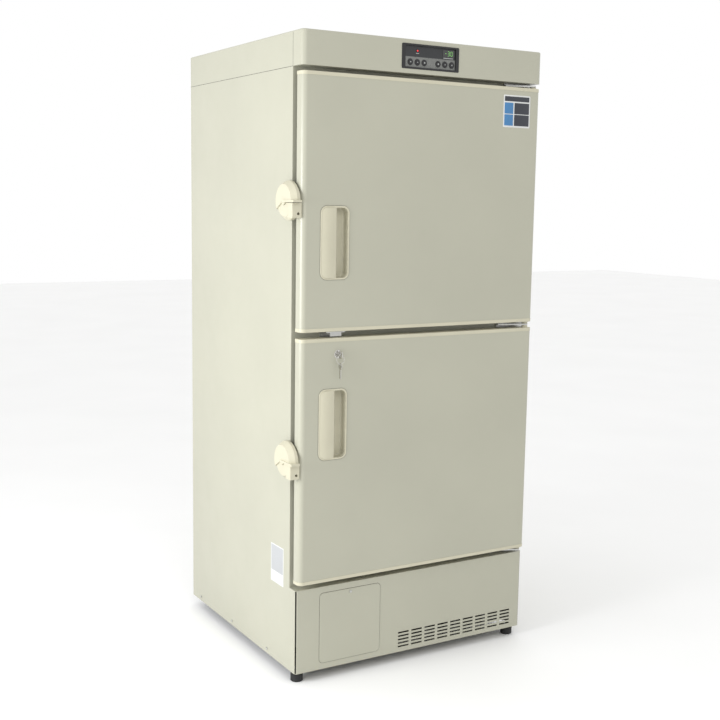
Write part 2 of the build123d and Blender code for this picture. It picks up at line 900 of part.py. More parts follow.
# Recessed handle: a cup let into the door, half covered by the grip that is pulled
def build_handle(side, handle_z):
    cavity = (handle_width - 2 * handle_lip, handle_height - 2 * handle_lip)
    cavity_corner = handle_corner - handle_lip
    with BuildPart() as cup:
        extrude(
            rounded_sketch(door_front, (handle_x, handle_z), (handle_width, handle_height), handle_corner),
            amount=handle_proud,
        )
        chamfer(cup.faces().sort_by(Axis.Y)[0].edges(), handle_edge)
        extrude(handle_hole(door_front, handle_z, 0), amount=-(cup_depth + cup_wall))
        extrude(
            rounded_sketch(door_front - handle_proud, (handle_x, handle_z), cavity, cavity_corner),
            amount=-(cup_depth + handle_proud), mode=Mode.SUBTRACT,
        )
        floor_edges = cup.edges().filter_by(
            lambda edge: abs(edge.center().Y - door_front - cup_depth) < 0.1
        )
        fillet(floor_edges, cup_floor_radius)
    grip_left = handle_x - cavity[0] / 2
    grip_right = grip_left + grip_width
    grip_front = door_front - handle_proud
    with BuildPart() as grip:
        with BuildSketch(front_plane(grip_front + grip_thickness)):
            with Locations((handle_x, handle_z)):
                RectangleRounded(cavity[0], cavity[1], cavity_corner)
            with Locations((grip_right, handle_z)):
                Rectangle(cavity[0], cavity[1], align=(Align.MIN, Align.CENTER), mode=Mode.SUBTRACT)
        extrude(amount=grip_thickness + grip_crown)
        with BuildSketch(Plane.XY.offset(handle_z - cavity[1] / 2)):
            with BuildLine():
                ThreePointArc(
                    (grip_left, grip_front),
                    ((grip_left + grip_right) / 2, grip_front - grip_crown * 0.8),
                    (grip_right, grip_front + grip_fall),
                )
                Polyline(
                    (grip_right, grip_front + grip_fall), (grip_right, grip_front + grip_thickness),
                    (grip_left, grip_front + grip_thickness), (grip_left, grip_front),
                )
            make_face()
        extrude(amount=cavity[1], mode=Mode.INTERSECT)
    save(Compound(children=[cup.part, grip.part]), f"{side}_door_handle")


# Latches: a turning dome on the cabinet's side, and a keeper on the door's edge
def latch_dome(centre_z, shrink):
    """The bevelled dome on the cabinet's left side, with its walls moved inwards by shrink."""
    top = -side_x - latch_height + shrink
    rim = centre_z + latch_radius - shrink
    with BuildPart() as dome:
        with BuildSketch(Plane.XZ.offset(-face_y)):
            with BuildLine():
                Polyline(
                    (-side_x, centre_z), (-side_x, rim), (-side_x - latch_rim, rim),
                    (top, centre_z + latch_face_radius - shrink), (top, centre_z), close=True,
                )
            make_face()
        revolve(axis=Axis((0, face_y, centre_z), (1, 0, 0)))
    return dome.part


def latch_core(centre_z, radius, low_x, high_x):
    """A round bar on the latch's axis, between two planes."""
    with BuildPart() as core:
        with BuildSketch(side_plane(low_x)):
            with Locations((face_y, centre_z)):
                Circle(radius)
        extrude(amount=high_x - low_x)
    return core.part


def latch_fixed_dome(centre_z, split):
    """The dome that stays on the cabinet, nested under the lever and cut off at the ledge and the keeper."""
    far = 2 * latch_radius
    nested_front = face_y - keeper_reach + over
    with BuildPart() as nested:
        add(latch_dome(centre_z, latch_wall + latch_nest_gap))
        add(
            latch_core(centre_z, latch_hub_radius + over, -side_x - latch_height, -side_x + over),
            mode=Mode.SUBTRACT,
        )
        beyond = (-side_x - latch_height, -side_x + over)
        slab(
            beyond, (face_y - far, face_y + far), (split - keeper_clearance, centre_z + far),
            mode=Mode.SUBTRACT,
        )
        slab(
            beyond, (face_y - far, nested_front), (centre_z - far, centre_z + far),
            mode=Mode.SUBTRACT,
        )
    return nested.part


def build_latch(side, centre_z):
    plate_x = -side_x - latch_base
    lever_x = plate_x - fit_gap
    outer_x = -side_x - latch_height
    pin_end = outer_x + latch_wall + latch_pin_gap
    split = centre_z - ledge_thickness / 2
    far = 2 * latch_radius
    with BuildPart() as base:
        add(latch_core(centre_z, latch_radius - latch_base_inset, plate_x, -side_x))
        slab(
            (plate_x - over, -side_x + over), (face_y - far, face_y), (centre_z - far, split),
            mode=Mode.SUBTRACT,
        )
        add(latch_fixed_dome(centre_z, split))
        add(latch_core(centre_z, latch_pin_radius, outer_x, -side_x + over), mode=Mode.SUBTRACT)
    pin = latch_core(centre_z, latch_pin_radius, pin_end, -side_x)

    with BuildPart() as lever:
        add(latch_dome(centre_z, 0))
        with BuildPart(mode=Mode.PRIVATE) as hollow:
            add(latch_dome(centre_z, latch_wall))
            add(latch_core(centre_z, latch_hub_radius, outer_x, lever_x), mode=Mode.SUBTRACT)
        add(hollow.part, mode=Mode.SUBTRACT)
        slab(
            (lever_x, -side_x + over), (face_y - far, face_y + far), (centre_z - far, centre_z + far),
            mode=Mode.SUBTRACT,
        )
        with BuildSketch(side_plane(lever_x + over)):
            with BuildLine():
                notch_y = face_y + latch_hub_radius
                Polyline(
                    (face_y - far, split), (notch_y, split),
                    (notch_y + far * latch_notch_lean, split - far), (face_y - far, split - far),
                    close=True,
                )
            make_face()
            with Locations((face_y, centre_z)):
                Circle(latch_hub_radius, mode=Mode.SUBTRACT)
        extrude(amount=-(latch_height + 2 * over), mode=Mode.SUBTRACT)
        slab(
            (outer_x - ledge_proud, lever_x), (face_y - ledge_reach, face_y + ledge_back),
            (split, split + ledge_thickness),
        )
        add(
            latch_core(centre_z, latch_pin_radius + run_gap, pin_end - run_gap, lever_x + over),
            mode=Mode.SUBTRACT,
        )
    save(lever.part, f"{side}_latch_lever")

    keeper_front = door_front + keeper_setback
    keeper_back = face_y - keeper_reach - keeper_clearance
    with BuildPart() as keeper:
        slab(
            (-door_x - keeper_height, -door_x), (keeper_front, keeper_back),
            (centre_z - keeper_drop, split - keeper_clearance),
        )
        fillet(keeper.edges().filter_by(Axis.Z).group_by(Axis.X)[0], keeper_corner)
        hole_z = centre_z - keeper_drop + padlock_hole_rise
        with Locations((-door_x - padlock_hole_inset, keeper_front, hole_z)):
            Cylinder(padlock_hole_radius, 4 * keeper_reach, rotation=(90, 0, 0), mode=Mode.SUBTRACT)
    save(keeper.part, f"{side}_latch_keeper")
    return [base.part, pin]


# Door lock: a barrel in the lower door, whose cam rises behind a strike on the cabinet
def cam_front():
    return door_front + lock_depth


def cam_slot():
    """The slot that the cam turns in, from front to back."""
    return cam_front() - cam_slot_gap, cam_front() + cam_thickness + cam_slot_gap


def lock_reach(lock_z, door_top):
    return door_top - lock_z + cam_reach


def cam_sweep(lock_z, door_top, level):
    """How far to the right of the lock the corner of the turning cam rises through a level."""
    corner = sqrt(lock_reach(lock_z, door_top) ** 2 + (cam_width / 2) ** 2)
    return sqrt(corner ** 2 - (level - lock_z) ** 2)


def build_lock(door_top):
    lock_z = door_top - lock_drop
    reach = lock_reach(lock_z, door_top)
    with BuildPart() as housing:
        with BuildSketch(front_plane(door_front)):
            with Locations((lock_x, lock_z)):
                Circle(lock_bezel_radius)
        extrude(amount=lock_bezel_proud)
        chamfer(housing.faces().sort_by(Axis.Y)[0].edges(), lock_bezel_edge)
        with BuildSketch(front_plane(door_front)):
            with Locations((lock_x, lock_z)):
                Circle(lock_barrel_radius)
        extrude(amount=-(lock_depth - fit_gap))
        with BuildSketch(front_plane(door_front - lock_bezel_proud - 1)):
            with Locations((lock_x, lock_z)):
                Circle(lock_plug_radius + run_gap)
        extrude(amount=-(lock_depth + lock_bezel_proud + 2), mode=Mode.SUBTRACT)
    save(housing.part, "lock_housing")

    plug_front = door_front - lock_bezel_proud + plug_sink
    with BuildPart() as cylinder:
        with BuildSketch(front_plane(plug_front)):
            with Locations((lock_x, lock_z)):
                Circle(lock_plug_radius)
        extrude(amount=-(cam_front() - plug_front))
        with BuildSketch(front_plane(cam_front())):
            with Locations((lock_x, lock_z)):
                Circle(cam_width / 2)
                Rectangle(reach, cam_width, align=(Align.MIN, Align.CENTER))
        extrude(amount=-cam_thickness)
        slab(
            (lock_x - key_thickness / 2 - key_socket_gap, lock_x + key_thickness / 2 + key_socket_gap),
            (plug_front - over, plug_front + key_blade_length - key_shoulder),
            (lock_z - key_blade_width / 2 - key_socket_gap, lock_z + key_blade_width / 2 + key_socket_gap),
            mode=Mode.SUBTRACT,
        )
    save(cylinder.part, "lock_cylinder")

    bow_y = plug_front - key_bow_reach
    with BuildPart() as key:
        with BuildSketch(side_plane(lock_x - key_thickness / 2)):
            with Locations((bow_y, lock_z)):
                Circle(key_bow_radius)
                Circle(key_hole_radius, mode=Mode.SUBTRACT)
            with Locations((bow_y + key_bow_radius - 1, lock_z)):
                Rectangle(key_blade_length - key_shoulder, key_blade_width, align=(Align.MIN, Align.CENTER))
        extrude(amount=key_thickness)
    save(key.part, "lock_key")

    hang = key_hole_radius - key_ring_wire - fit_gap
    ring_z = lock_z - hang - key_ring_radius
    with BuildPart() as ring:
        with BuildSketch(Plane.YZ.offset(lock_x)):
            with Locations((bow_y, ring_z + key_ring_radius)):
                RegularPolygon(key_ring_wire, key_ring_sides)
        revolve(axis=Axis((lock_x, bow_y, ring_z), (0, 1, 0)))
    hole_z = ring_z - key_ring_radius - hang
    with BuildPart() as spare:
        with BuildSketch(side_plane(lock_x - key_thickness / 2)):
            with Locations((bow_y, hole_z - spare_bow_radius + spare_hole_inset)):
                Circle(spare_bow_radius)
                with Locations((0, spare_bow_radius - spare_hole_inset)):
                    Circle(key_hole_radius, mode=Mode.SUBTRACT)
            with Locations((bow_y, hole_z - 2 * spare_bow_radius + spare_hole_inset + over)):
                Rectangle(key_blade_width, key_blade_length, align=(Align.CENTER, Align.MAX))
        extrude(amount=key_thickness)
    save(Compound(children=[ring.part, spare.part]), "spare_key_on_ring")

    strike_z = door_top + door_gap - strike_clearance
    strike_front = cam_front() - strike_overlap
    with BuildPart() as strike:
        slab(
            (lock_x - strike_half_width, lock_x + strike_half_width), (strike_front, face_y),
            (strike_z, strike_z + strike_thickness),
        )
        slab(
            (lock_x - strike_lip_half_width, lock_x + strike_lip_half_width),
            (strike_front, strike_front + strike_thickness),
            (door_top + strike_thickness, strike_z + strike_thickness),
        )
        slab(
            (lock_x - strike_half_width, lock_x + strike_half_width), (face_y - strike_thickness, face_y),
            (door_top - strike_overlap, strike_z + strike_thickness),
        )
    save(strike.part, "lock_strike")
    return lock_z


# Lower front panel: folded sheet with louvres and the cover of the recorder space
def build_lower_front():
    front = door_front + panel_setback
    cover_x = -side_x + cover_left + cover_width / 2
    cover_z = floor_gap + cover_rise + cover_height / 2
    louvre_right_x = side_x - louvre_right
    louvre_left_x = -side_x + cover_left + cover_width + louvre_gap
    louvre_x = (louvre_left_x + louvre_right_x) / 2
    louvre_column_pitch = (louvre_right_x - louvre_left_x + louvre_land) / louvre_columns
    louvre_width = louvre_column_pitch - louvre_land
    louvre_z = floor_gap + louvre_rise + louvre_height / 2 + (louvre_rows - 1) / 2 * louvre_row_pitch
    with BuildPart() as panel:
        slab((-side_x, side_x), (front, face_y), (floor_gap, panel_top))
        fillet(panel.edges().filter_by(Axis.Z).group_by(Axis.Y)[0], panel_corner)
        slab(
            (-side_x + sheet, side_x - sheet), (front + sheet, face_y + 1),
            (floor_gap + sheet, panel_top - sheet), mode=Mode.SUBTRACT,
        )
        slab(
            (hinge_x + leaf_nose - leaf_width - 2, side_x - sheet),
            (face_y - leaf_thickness - 2, face_y + 1), (panel_top - 2, panel_top + 1),
            mode=Mode.SUBTRACT,
        )
        extrude(
            rounded_sketch(
                front - over, (cover_x, cover_z),
                (cover_width - 2 * cover_lap, cover_height - 2 * cover_lap), cover_corner,
            ),
            amount=-(sheet + 2 * over), mode=Mode.SUBTRACT,
        )
        with BuildSketch(front_plane(front - 1)):
            with Locations((louvre_x, louvre_z)):
                with GridLocations(louvre_column_pitch, louvre_row_pitch, louvre_columns, louvre_rows):
                    Rectangle(louvre_width, louvre_height)
        extrude(amount=-5, mode=Mode.SUBTRACT)
        for sign in (-1, 1):
            with Locations((sign * foot_x, face_y - foot_setback, floor_gap)):
                Cylinder(foot_stud_radius + foot_hole_gap, 6 * sheet, mode=Mode.SUBTRACT)
    save(panel.part, "lower_front_panel")
    with BuildPart() as cover:
        extrude(
            rounded_sketch(front, (cover_x, cover_z), (cover_width - 2 * cover_groove,
                           cover_height - 2 * cover_groove), cover_corner),
            amount=cover_step,
        )
        chamfer(cover.faces().sort_by(Axis.Y)[0].edges(), cover_edge)
    save(cover.part, "recorder_cover")
    with BuildPart() as filter_pad:
        low, high = floor_gap + filter_rise, panel_top - filter_drop
        half = (louvre_columns * louvre_column_pitch) / 2
        slab((louvre_x - half, louvre_x + half), (front + sheet, front + sheet + filter_depth), (low, high))
        with BuildSketch(front_plane(front)):
            with Locations((louvre_x, (low + high) / 2)):
                with GridLocations(2 * half / 4, (high - low) / 2, 4, 2):
                    Rectangle(half / 2 - filter_frame, (high - low) / 2 - filter_frame)
        extrude(amount=-12, mode=Mode.SUBTRACT)
    save(filter_pad.part, "air_filter_frame")


# Levelling feet: a rubber pad on a screw that turns in the base's boss
def build_feet():
    for side, sign in (("left", -1), ("right", 1)):
        with BuildPart() as foot:
            with BuildSketch(Plane.XZ.offset(-(face_y - foot_setback))):
                with BuildLine():
                    x = sign * foot_x
                    Polyline(
                        (x, 0), (x + foot_radius - foot_edge, 0), (x + foot_radius, foot_edge),
                        (x + foot_radius, foot_height - foot_shoulder),
                        (x + foot_radius - foot_shoulder, foot_height), (x + foot_stud_radius, foot_height),
                        (x + foot_stud_radius, base_top + foot_travel), (x, base_top + foot_travel),
                        close=True,
                    )
                make_face()
            revolve(axis=Axis((x, face_y - foot_setback, 0), (0, 0, 1)))
        save(foot.part, f"levelling_foot_{side}")


# Casters: a pressed fork under a round plate, and a moulded wheel on its axle
def caster_fork(x, y, lift):
    top = caster_height + lift
    axle_z = wheel_radius + lift
    axle_y = y + caster_trail
    inner = wheel_width / 2 + fork_gap
    crown = axle_z + wheel_radius + fork_crown_gap
    shoulder = top - fork_drop
    with BuildPart() as fork:
        with BuildSketch(Plane.XY.offset(top - caster_plate_thickness)):
            with Locations((x, y)):
                Circle(caster_plate / 2)
        extrude(amount=caster_plate_thickness - fit_gap)
        with BuildSketch(Plane.XY.offset(top - caster_plate_thickness - caster_neck_depth)):
            with Locations((x, y)):
                Circle(caster_neck_radius)
        extrude(amount=caster_neck_depth)
        with BuildSketch(side_plane(x - inner - fork_wall)):
            with BuildLine():
                Polyline(
                    (y - fork_half_width, shoulder), (y + fork_half_width, shoulder), (y + fork_waist, crown),
                    (axle_y + fork_ear, axle_z), (axle_y, axle_z - fork_ear), (axle_y - fork_ear, axle_z),
                    (y - fork_half_width, crown), close=True,
                )
            make_face()
        extrude(amount=2 * (inner + fork_wall))
        reach = 2 * (caster_trail + fork_waist)
        slab((x - inner, x + inner), (y - reach, y + reach), (lift - over, crown), mode=Mode.SUBTRACT)
        with Locations((x, axle_y, axle_z)):
            Cylinder(wheel_bore - run_gap, 2 * (inner + fork_wall), rotation=(0, 90, 0))
    return fork.part


def caster_wheel(x, y, lift):
    """A moulded wheel with a dished web, turned about its axle."""
    axle_y, axle_z = y + caster_trail, wheel_radius + lift
    half = wheel_width / 2
    dish = half - wheel_dish
    rim = axle_y + wheel_radius
    with BuildPart() as wheel:
        with BuildSketch(Plane.XY.offset(axle_z)):
            with BuildLine():
                Polyline(
                    (x - half, axle_y + wheel_bore), (x + half, axle_y + wheel_bore),
                    (x + dish, axle_y + wheel_hub_radius), (x + half, rim - wheel_rim),
                    (x + half, rim - wheel_edge), (x + half - wheel_edge, rim),
                    (x - half + wheel_edge, rim), (x - half, rim - wheel_edge),
                    (x - half, rim - wheel_rim), (x - dish, axle_y + wheel_hub_radius), close=True,
                )
            make_face()
        revolve(axis=Axis((0, axle_y, axle_z), (1, 0, 0)))
    return wheel.part


def build_casters():
    front_y = face_y + front_caster_inset
    rear_y = back_y - rear_caster_inset
    rear_forks = []
    for side, sign in (("left", -1), ("right", 1)):
        x = sign * caster_x
        save(caster_fork(x, front_y, front_wheel_lift), f"front_caster_fork_{side}")
        save(caster_wheel(x, front_y, front_wheel_lift), f"front_caster_wheel_{side}")
        rear_forks.append(caster_fork(x, rear_y, 0))
        save(caster_wheel(x, rear_y, 0), f"rear_caster_wheel_{side}")
    save(Compound(children=rear_forks), "rear_caster_forks")


# Refrigeration: compressor, finned condenser with its fan, and the copper lines
def build_compressor(compressor_y, foot_level):
    low, top = foot_level + compressor_plate, foot_level + compressor_height
    seam = (low + top) / 2
    r, x = compressor_radius, compressor_x
    with BuildPart() as can:
        with BuildSketch(Plane.XZ.offset(-compressor_y)):
            with BuildLine():
                Polyline(
                    (x, low), (x + r - compressor_lower_edge, low), (x + r, low + compressor_lower_edge),
                    (x + r, seam - compressor_seam_half), (x + r + compressor_seam, seam - compressor_seam_half),
                    (x + r + compressor_seam, seam + compressor_seam_half), (x + r, seam + compressor_seam_half),
                    (x + r, top - compressor_upper_edge),
                    (x + r - compressor_upper_fall / 2, top - compressor_upper_fall / 2),
                    (x + r - compressor_upper_edge, top), (x, top), close=True,
                )
            make_face()
        revolve(axis=Axis((x, compressor_y, 0), (0, 0, 1)))
        feet_x, feet_y = r + compressor_foot_out, r - compressor_foot_in
        plate_x, plate_y = feet_x + compressor_plate_side, feet_y + compressor_plate_end
        slab((x - plate_x, x + plate_x), (compressor_y - plate_y, compressor_y + plate_y), (foot_level, low))
        slab(
            (x - r - terminal_box_out, x - r + terminal_box_in),
            (compressor_y - terminal_box_half, compressor_y + terminal_box_half),
            (seam - terminal_box_low, seam + terminal_box_high),
        )
    pieces = [can.part]
    for dx in (-feet_x, feet_x):
        for dy in (-feet_y, feet_y):
            with BuildPart() as mount:
                with BuildSketch(Plane.XY.offset(base_top)):
                    with Locations((x + dx, compressor_y + dy)):
                        Circle(mount_radius)
                extrude(amount=foot_level - base_top, taper=mount_taper)
            pieces.append(mount.part)
    save(Compound(children=pieces), "compressor")


def build_condenser(front, low):
    end = condenser_width / 2
    with BuildPart() as condenser:
        for sign in (-1, 1):
            plate = sorted((condenser_x + sign * end, condenser_x + sign * (end - condenser_end_plate)))
            slab(plate, (front, front + condenser_depth), (base_top, low + condenser_height))
        pitch = (condenser_width - 2 * condenser_fin_side) / (condenser_fins - 1)
        with BuildSketch(Plane.XY.offset(low + condenser_fin_end)):
            with Locations((condenser_x, front + condenser_depth / 2)):
                with GridLocations(pitch, 1, condenser_fins, 1):
                    Rectangle(fin_thickness, condenser_depth - 2 * condenser_fin_edge)
        extrude(amount=condenser_height - 2 * condenser_fin_end)
        tube_y = front + condenser_depth / 2
        tube_pitch = (condenser_height - 2 * condenser_tube_inset) / (condenser_rows - 1)
        for row in range(condenser_rows):
            tube_z = low + condenser_tube_inset + row * tube_pitch
            slab(
                (condenser_x - end, condenser_x + end), (tube_y - pipe_radius, tube_y + pipe_radius),
                (tube_z - pipe_radius, tube_z + pipe_radius),
            )
    save(condenser.part, "condenser")


def build_fan(shroud_y, low):
    """The shroud with its motor bracket, and the fan that runs in it."""
    end = condenser_width / 2
    fan_x, fan_z = condenser_x - fan_inset, low + condenser_height / 2
    blade_y = shroud_y + fan_setback
    motor_y = blade_y + motor_gap
    bar_y = motor_y + motor_setback - motor_length / 2
    ring = fan_radius + fan_gap
    post_near = ring + shroud_post_gap
    post_far = post_near + shroud_post_width
    with BuildPart() as shroud:
        slab(
            (condenser_x - end, condenser_x + end), (shroud_y, shroud_y + shroud_sheet),
            (base_top, low + condenser_height),
        )
        with Locations((fan_x, shroud_y + shroud_depth / 2, fan_z)):
            Cylinder(ring + shroud_sheet, shroud_depth, rotation=(90, 0, 0))
            Cylinder(ring, 3 * shroud_depth, rotation=(90, 0, 0), mode=Mode.SUBTRACT)
        for sign in (-1, 1):
            post = sorted((fan_x + sign * post_near, fan_x + sign * post_far))
            slab(
                post, (shroud_y + shroud_sheet, bar_y + shroud_sheet + over),
                (fan_z - shroud_post_half, fan_z + shroud_post_half),
            )
        slab(
            (fan_x - post_far, fan_x + post_far), (bar_y + over, bar_y + shroud_sheet + over),
            (fan_z - shroud_bar_half, fan_z + shroud_bar_half),
        )
        with Locations((fan_x, motor_y + motor_setback, fan_z)):
            Cylinder(motor_radius, motor_length, rotation=(90, 0, 0))
        shaft_end = motor_y + motor_shaft_sink
        with Locations((fan_x, (blade_y + shaft_end) / 2, fan_z)):
            Cylinder(motor_shaft_radius, shaft_end - blade_y, rotation=(90, 0, 0))
    save(shroud.part, "fan_shroud_and_motor")
    with BuildPart() as fan:
        with Locations((fan_x, blade_y, fan_z)):
            Cylinder(fan_hub_radius, fan_hub_length, rotation=(90, 0, 0))
        for index in range(fan_blades):
            turn = index * 360 / fan_blades
            radial = Vector(1, 0, 0).rotate(Axis.Y, turn)
            across = radial.cross(Vector(0, 1, 0))
            facing = Vector(0, -1, 0) * cos(radians(fan_pitch)) + across * sin(radians(fan_pitch))
            blade = Plane(origin=(fan_x, blade_y, fan_z), x_dir=radial, z_dir=facing)
            with BuildSketch(blade.offset(-fan_blade_thickness / 2)):
                with Locations(((fan_radius + fan_hub_radius) / 2 - fan_blade_sink, 0)):
                    Trapezoid(fan_blade_root, fan_radius - fan_hub_radius, fan_blade_angle, rotation=90)
            extrude(amount=fan_blade_thickness)
        with Locations((fan_x, blade_y, fan_z)):
            Cylinder(
                motor_shaft_radius + run_gap, 3 * fan_hub_length, rotation=(90, 0, 0), mode=Mode.SUBTRACT,
            )
    save(fan.part, "condenser_fan")


def build_lines(compressor_y, can_top):
    """The suction line from the compressor up into the foam, and the drier on the floor of the base."""
    start = (compressor_x - suction_inset, compressor_y, can_top)
    rise = foam_bottom - pipe_drop
    run_y = back_y - suction_setback
    with BuildPart() as suction:
        with BuildLine():
            FilletPolyline(
                start, (start[0], start[1], rise), (start[0], run_y, rise),
                (start[0] - suction_run, run_y, rise), (start[0] - suction_run, run_y, foam_bottom),
                radius=pipe_bend,
            )
        with BuildSketch(Plane(start, z_dir=(0, 0, 1))):
            Circle(pipe_radius + suction_wall)
        sweep()
    with BuildPart() as drier:
        drier_y = compressor_y - drier_setback
        with Locations((compressor_x - drier_inset, drier_y, base_top + drier_radius)):
            Cylinder(drier_radius, drier_length, rotation=(90, 0, 0))
        chamfer(drier.edges().filter_by(GeomType.CIRCLE), drier_neck)
    save(Compound(children=[suction.part, drier.part]), "refrigerant_lines")


def build_machine():
    compressor_y = back_y - compressor_inset
    foot_level = base_top + compressor_rise
    condenser_front = door_front + panel_setback + condenser_setback
    condenser_low = base_top + condenser_rise
    build_compressor(compressor_y, foot_level)
    build_condenser(condenser_front, condenser_low)
    build_fan(condenser_front + condenser_depth, condenser_low)
    build_lines(compressor_y, foot_level + compressor_height)


# Power inlet gland in the rear cover
def build_power_inlet():
    with BuildPart() as inlet:
        with BuildSketch(front_plane(back_y)):
            with Locations(inlet_place()):
                RegularPolygon(inlet_nut_radius, 6)
                Circle(inlet_bore_radius, mode=Mode.SUBTRACT)
        extrude(amount=-inlet_length)
    save(inlet.part, "power_inlet_gland")


build_base_frame()
build_side_panels()
build_back()
build_face_frame()
build_insulation()
build_liners()
build_shelves()
build_top_cover()
build_header_cover()
build_control_panel()
build_hinges()
lower_lock_z = build_lock(lower_door_top)
build_door("upper", *upper_levels, upper_door_bottom + upper_handle_rise, None)
build_door("lower", *lower_levels, lower_door_top - lower_handle_drop, lower_lock_z)
latch_bases = build_latch("upper", upper_door_bottom + door_height / 2 + upper_latch_rise)
latch_bases += build_latch("lower", lower_door_bottom + door_height / 2 + lower_latch_rise)
save(Compound(children=latch_bases), "latch_bases")
build_lower_front()
build_feet()
build_casters()
build_machine()
build_power_inlet()
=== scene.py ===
from math import cos, pi, radians, sin
import json

import bmesh
import bpy
from mathutils import Matrix, Vector


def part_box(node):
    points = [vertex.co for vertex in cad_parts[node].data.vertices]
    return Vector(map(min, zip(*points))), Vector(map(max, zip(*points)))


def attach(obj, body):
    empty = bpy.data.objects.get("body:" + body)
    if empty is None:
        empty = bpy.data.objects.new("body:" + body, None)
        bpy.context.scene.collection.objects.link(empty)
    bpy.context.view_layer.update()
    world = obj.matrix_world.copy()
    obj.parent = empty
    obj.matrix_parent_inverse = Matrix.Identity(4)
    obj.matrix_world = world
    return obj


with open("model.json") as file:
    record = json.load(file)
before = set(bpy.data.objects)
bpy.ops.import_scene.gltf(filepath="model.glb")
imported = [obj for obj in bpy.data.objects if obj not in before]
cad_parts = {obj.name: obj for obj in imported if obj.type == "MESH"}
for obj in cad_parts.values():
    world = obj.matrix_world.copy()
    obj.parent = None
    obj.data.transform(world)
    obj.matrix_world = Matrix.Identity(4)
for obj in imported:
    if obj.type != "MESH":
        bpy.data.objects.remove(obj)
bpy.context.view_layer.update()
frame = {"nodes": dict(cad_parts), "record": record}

X, Y = 0, 1

# Camera: place in metres, turns in radians, and a focal length for a picture 720 pixels wide
CAMERA_PLACE = (-1.79568, -3.06230, 1.35871)
CAMERA_YAW = 0.5361
CAMERA_PITCH = 0.1397
CAMERA_ROLL = 0.0158
FOCAL_PIXELS = 1122.82
IMAGE_PIXELS = 720
SENSOR_MM = 36.0
FLOOR_SIZE = 30.0

# Levels and planes of the cabinet, read from the frame
door_low, door_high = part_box("upper_door_skin")
side_low, side_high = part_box("side_panel_left")
header_low, header_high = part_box("header_cover")
top_low, top_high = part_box("top_cover")
cover_low, cover_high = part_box("recorder_cover")
rear_low, rear_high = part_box("rear_cover")
bezel_low, bezel_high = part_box("control_bezel")
plate_low, plate_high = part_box("control_plate")
window_low, window_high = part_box("display_window")
DOOR_FRONT = door_low.y
SIDE_LEFT = side_low.x
PLATE_FRONT = plate_low.y
WINDOW_FRONT = window_low.y

# Blank labels, in metres: the film's thickness, the door's sticker, then the side's label
FILM = 0.0003
PRINT_PROUD = 1.6 * FILM
PRINT_SUNK = FILM / 2
FILM_EDGE = FILM / 4
PRINT_EDGE = FILM / 8
STICKER_SIZE = (0.0985, 0.0928)
STICKER_RIGHT = 0.0375
STICKER_TOP = 0.0135
STICKER_CORNER = 0.003
STICKER_MARGIN = 0.004
STICKER_BAND = 0.014
STICKER_SQUARE = 0.032
PRINT_CORNER = 0.0015
SIDE_LABEL_LOW = (-0.305, 0.266)
SIDE_LABEL_HIGH = (-0.225, 0.379)
SIDE_LABEL_CORNER = 0.002
SIDE_FIELD_CORNER = 0.001
SIDE_FIELD_FOOT = 0.3
LABEL_BORDER = 0.003

# Control panel, in metres: the lamp with its collar and strip
LAMP_RADIUS = 0.0024
LAMP_INSET = 0.0526
LAMP_DROP = 0.018
LAMP_SEGMENTS = 24
LAMP_RINGS = 12
LENS_DEPTH = LAMP_RADIUS / 4
LENS_EDGE = LAMP_RADIUS / 20
COLLAR_RADIUS = 1.5 * LAMP_RADIUS
COLLAR_BAND = 0.4 * LAMP_RADIUS
STRIP_REACH = 2 * LAMP_RADIUS
STRIP_TOP = 2.5 * LAMP_RADIUS
STRIP_FOOT = 3.4 * LAMP_RADIUS
STRIP_PROUD = 2 * FILM
STRIP_EDGE = FILM / 5

# The strip under the display, the paler ground behind the keys, and the keys' marks
DISPLAY_STRIP_LEFT = 0.002
DISPLAY_STRIP_RIGHT = 0.004
DISPLAY_STRIP_TOP = 0.0022
DISPLAY_STRIP_FOOT = 0.0045
KEY_STRIP_TOP = 0.0285
MARK_RADIUS = 0.0024
MARK_BAND = 0.4 * MARK_RADIUS
MARK_SINK = FILM / 2
MARK_EDGE = FILM / 6
ROUND_MARK = 24

# The display's figures
FIGURE_HEIGHT = 0.0118
FIGURE_WIDTH = 0.0062
FIGURE_PITCH = 0.0098
STROKE = 0.0012
STROKE_GAP = 0.55 * STROKE
STROKE_CORNER = 0.35 * STROKE

# Screws, in metres
SCREW_RADIUS = 0.004
SCREW_HEIGHT = 0.0022
SCREW_SIDES = 24
SCREW_BAND = 0.55 * SCREW_RADIUS
SCREW_WALL = 0.08 * SCREW_RADIUS
SCREW_SINK = 0.5 * SCREW_HEIGHT
SCREW_EDGE = 0.3 * SCREW_HEIGHT
SCREW_NEAR = SCREW_HEIGHT / 10
COVER_SCREW_INSET = 0.1
COVER_SCREW_DROP = 0.009
REAR_SCREW_INSET = 0.012
REAR_SCREW_MARGIN = 0.01
TOP_SCREWS = 5
TOP_SCREW_INSET = 0.05
TOP_SCREW_RISE = 0.012
SIDE_SCREW_PLACES = (-0.2, 0.05, 0.3)
SIDE_SCREW_RISE = 0.014

# Seams and the dark lines round fitted pieces, in metres
SEAM = 0.0011
SEAM_PROUD = 0.0002
SEAM_EDGE = SEAM_PROUD / 3
HEADER_SEAM_TOP = 0.004
SHADOW_LINE = 0.0009
SHADOW_BAND = 3 * SHADOW_LINE
HANDLE_CORNER = 0.02
COVER_CORNER = 0.012

# Share of a length or a normal that has to lie along an axis to count as facing it
FACING = 0.9
SHARP_ANGLE = radians(40.0)
SMOOTH_ANGLE = radians(35.0)

# Noise values outside this stretch are rare
NOISE_LOW = 0.3
NOISE_HIGH = 0.7


def clear_selection():
    if bpy.context.object and bpy.context.object.mode != "OBJECT":
        bpy.ops.object.mode_set(mode="OBJECT")
    bpy.ops.object.select_all(action="DESELECT")


clear_selection()


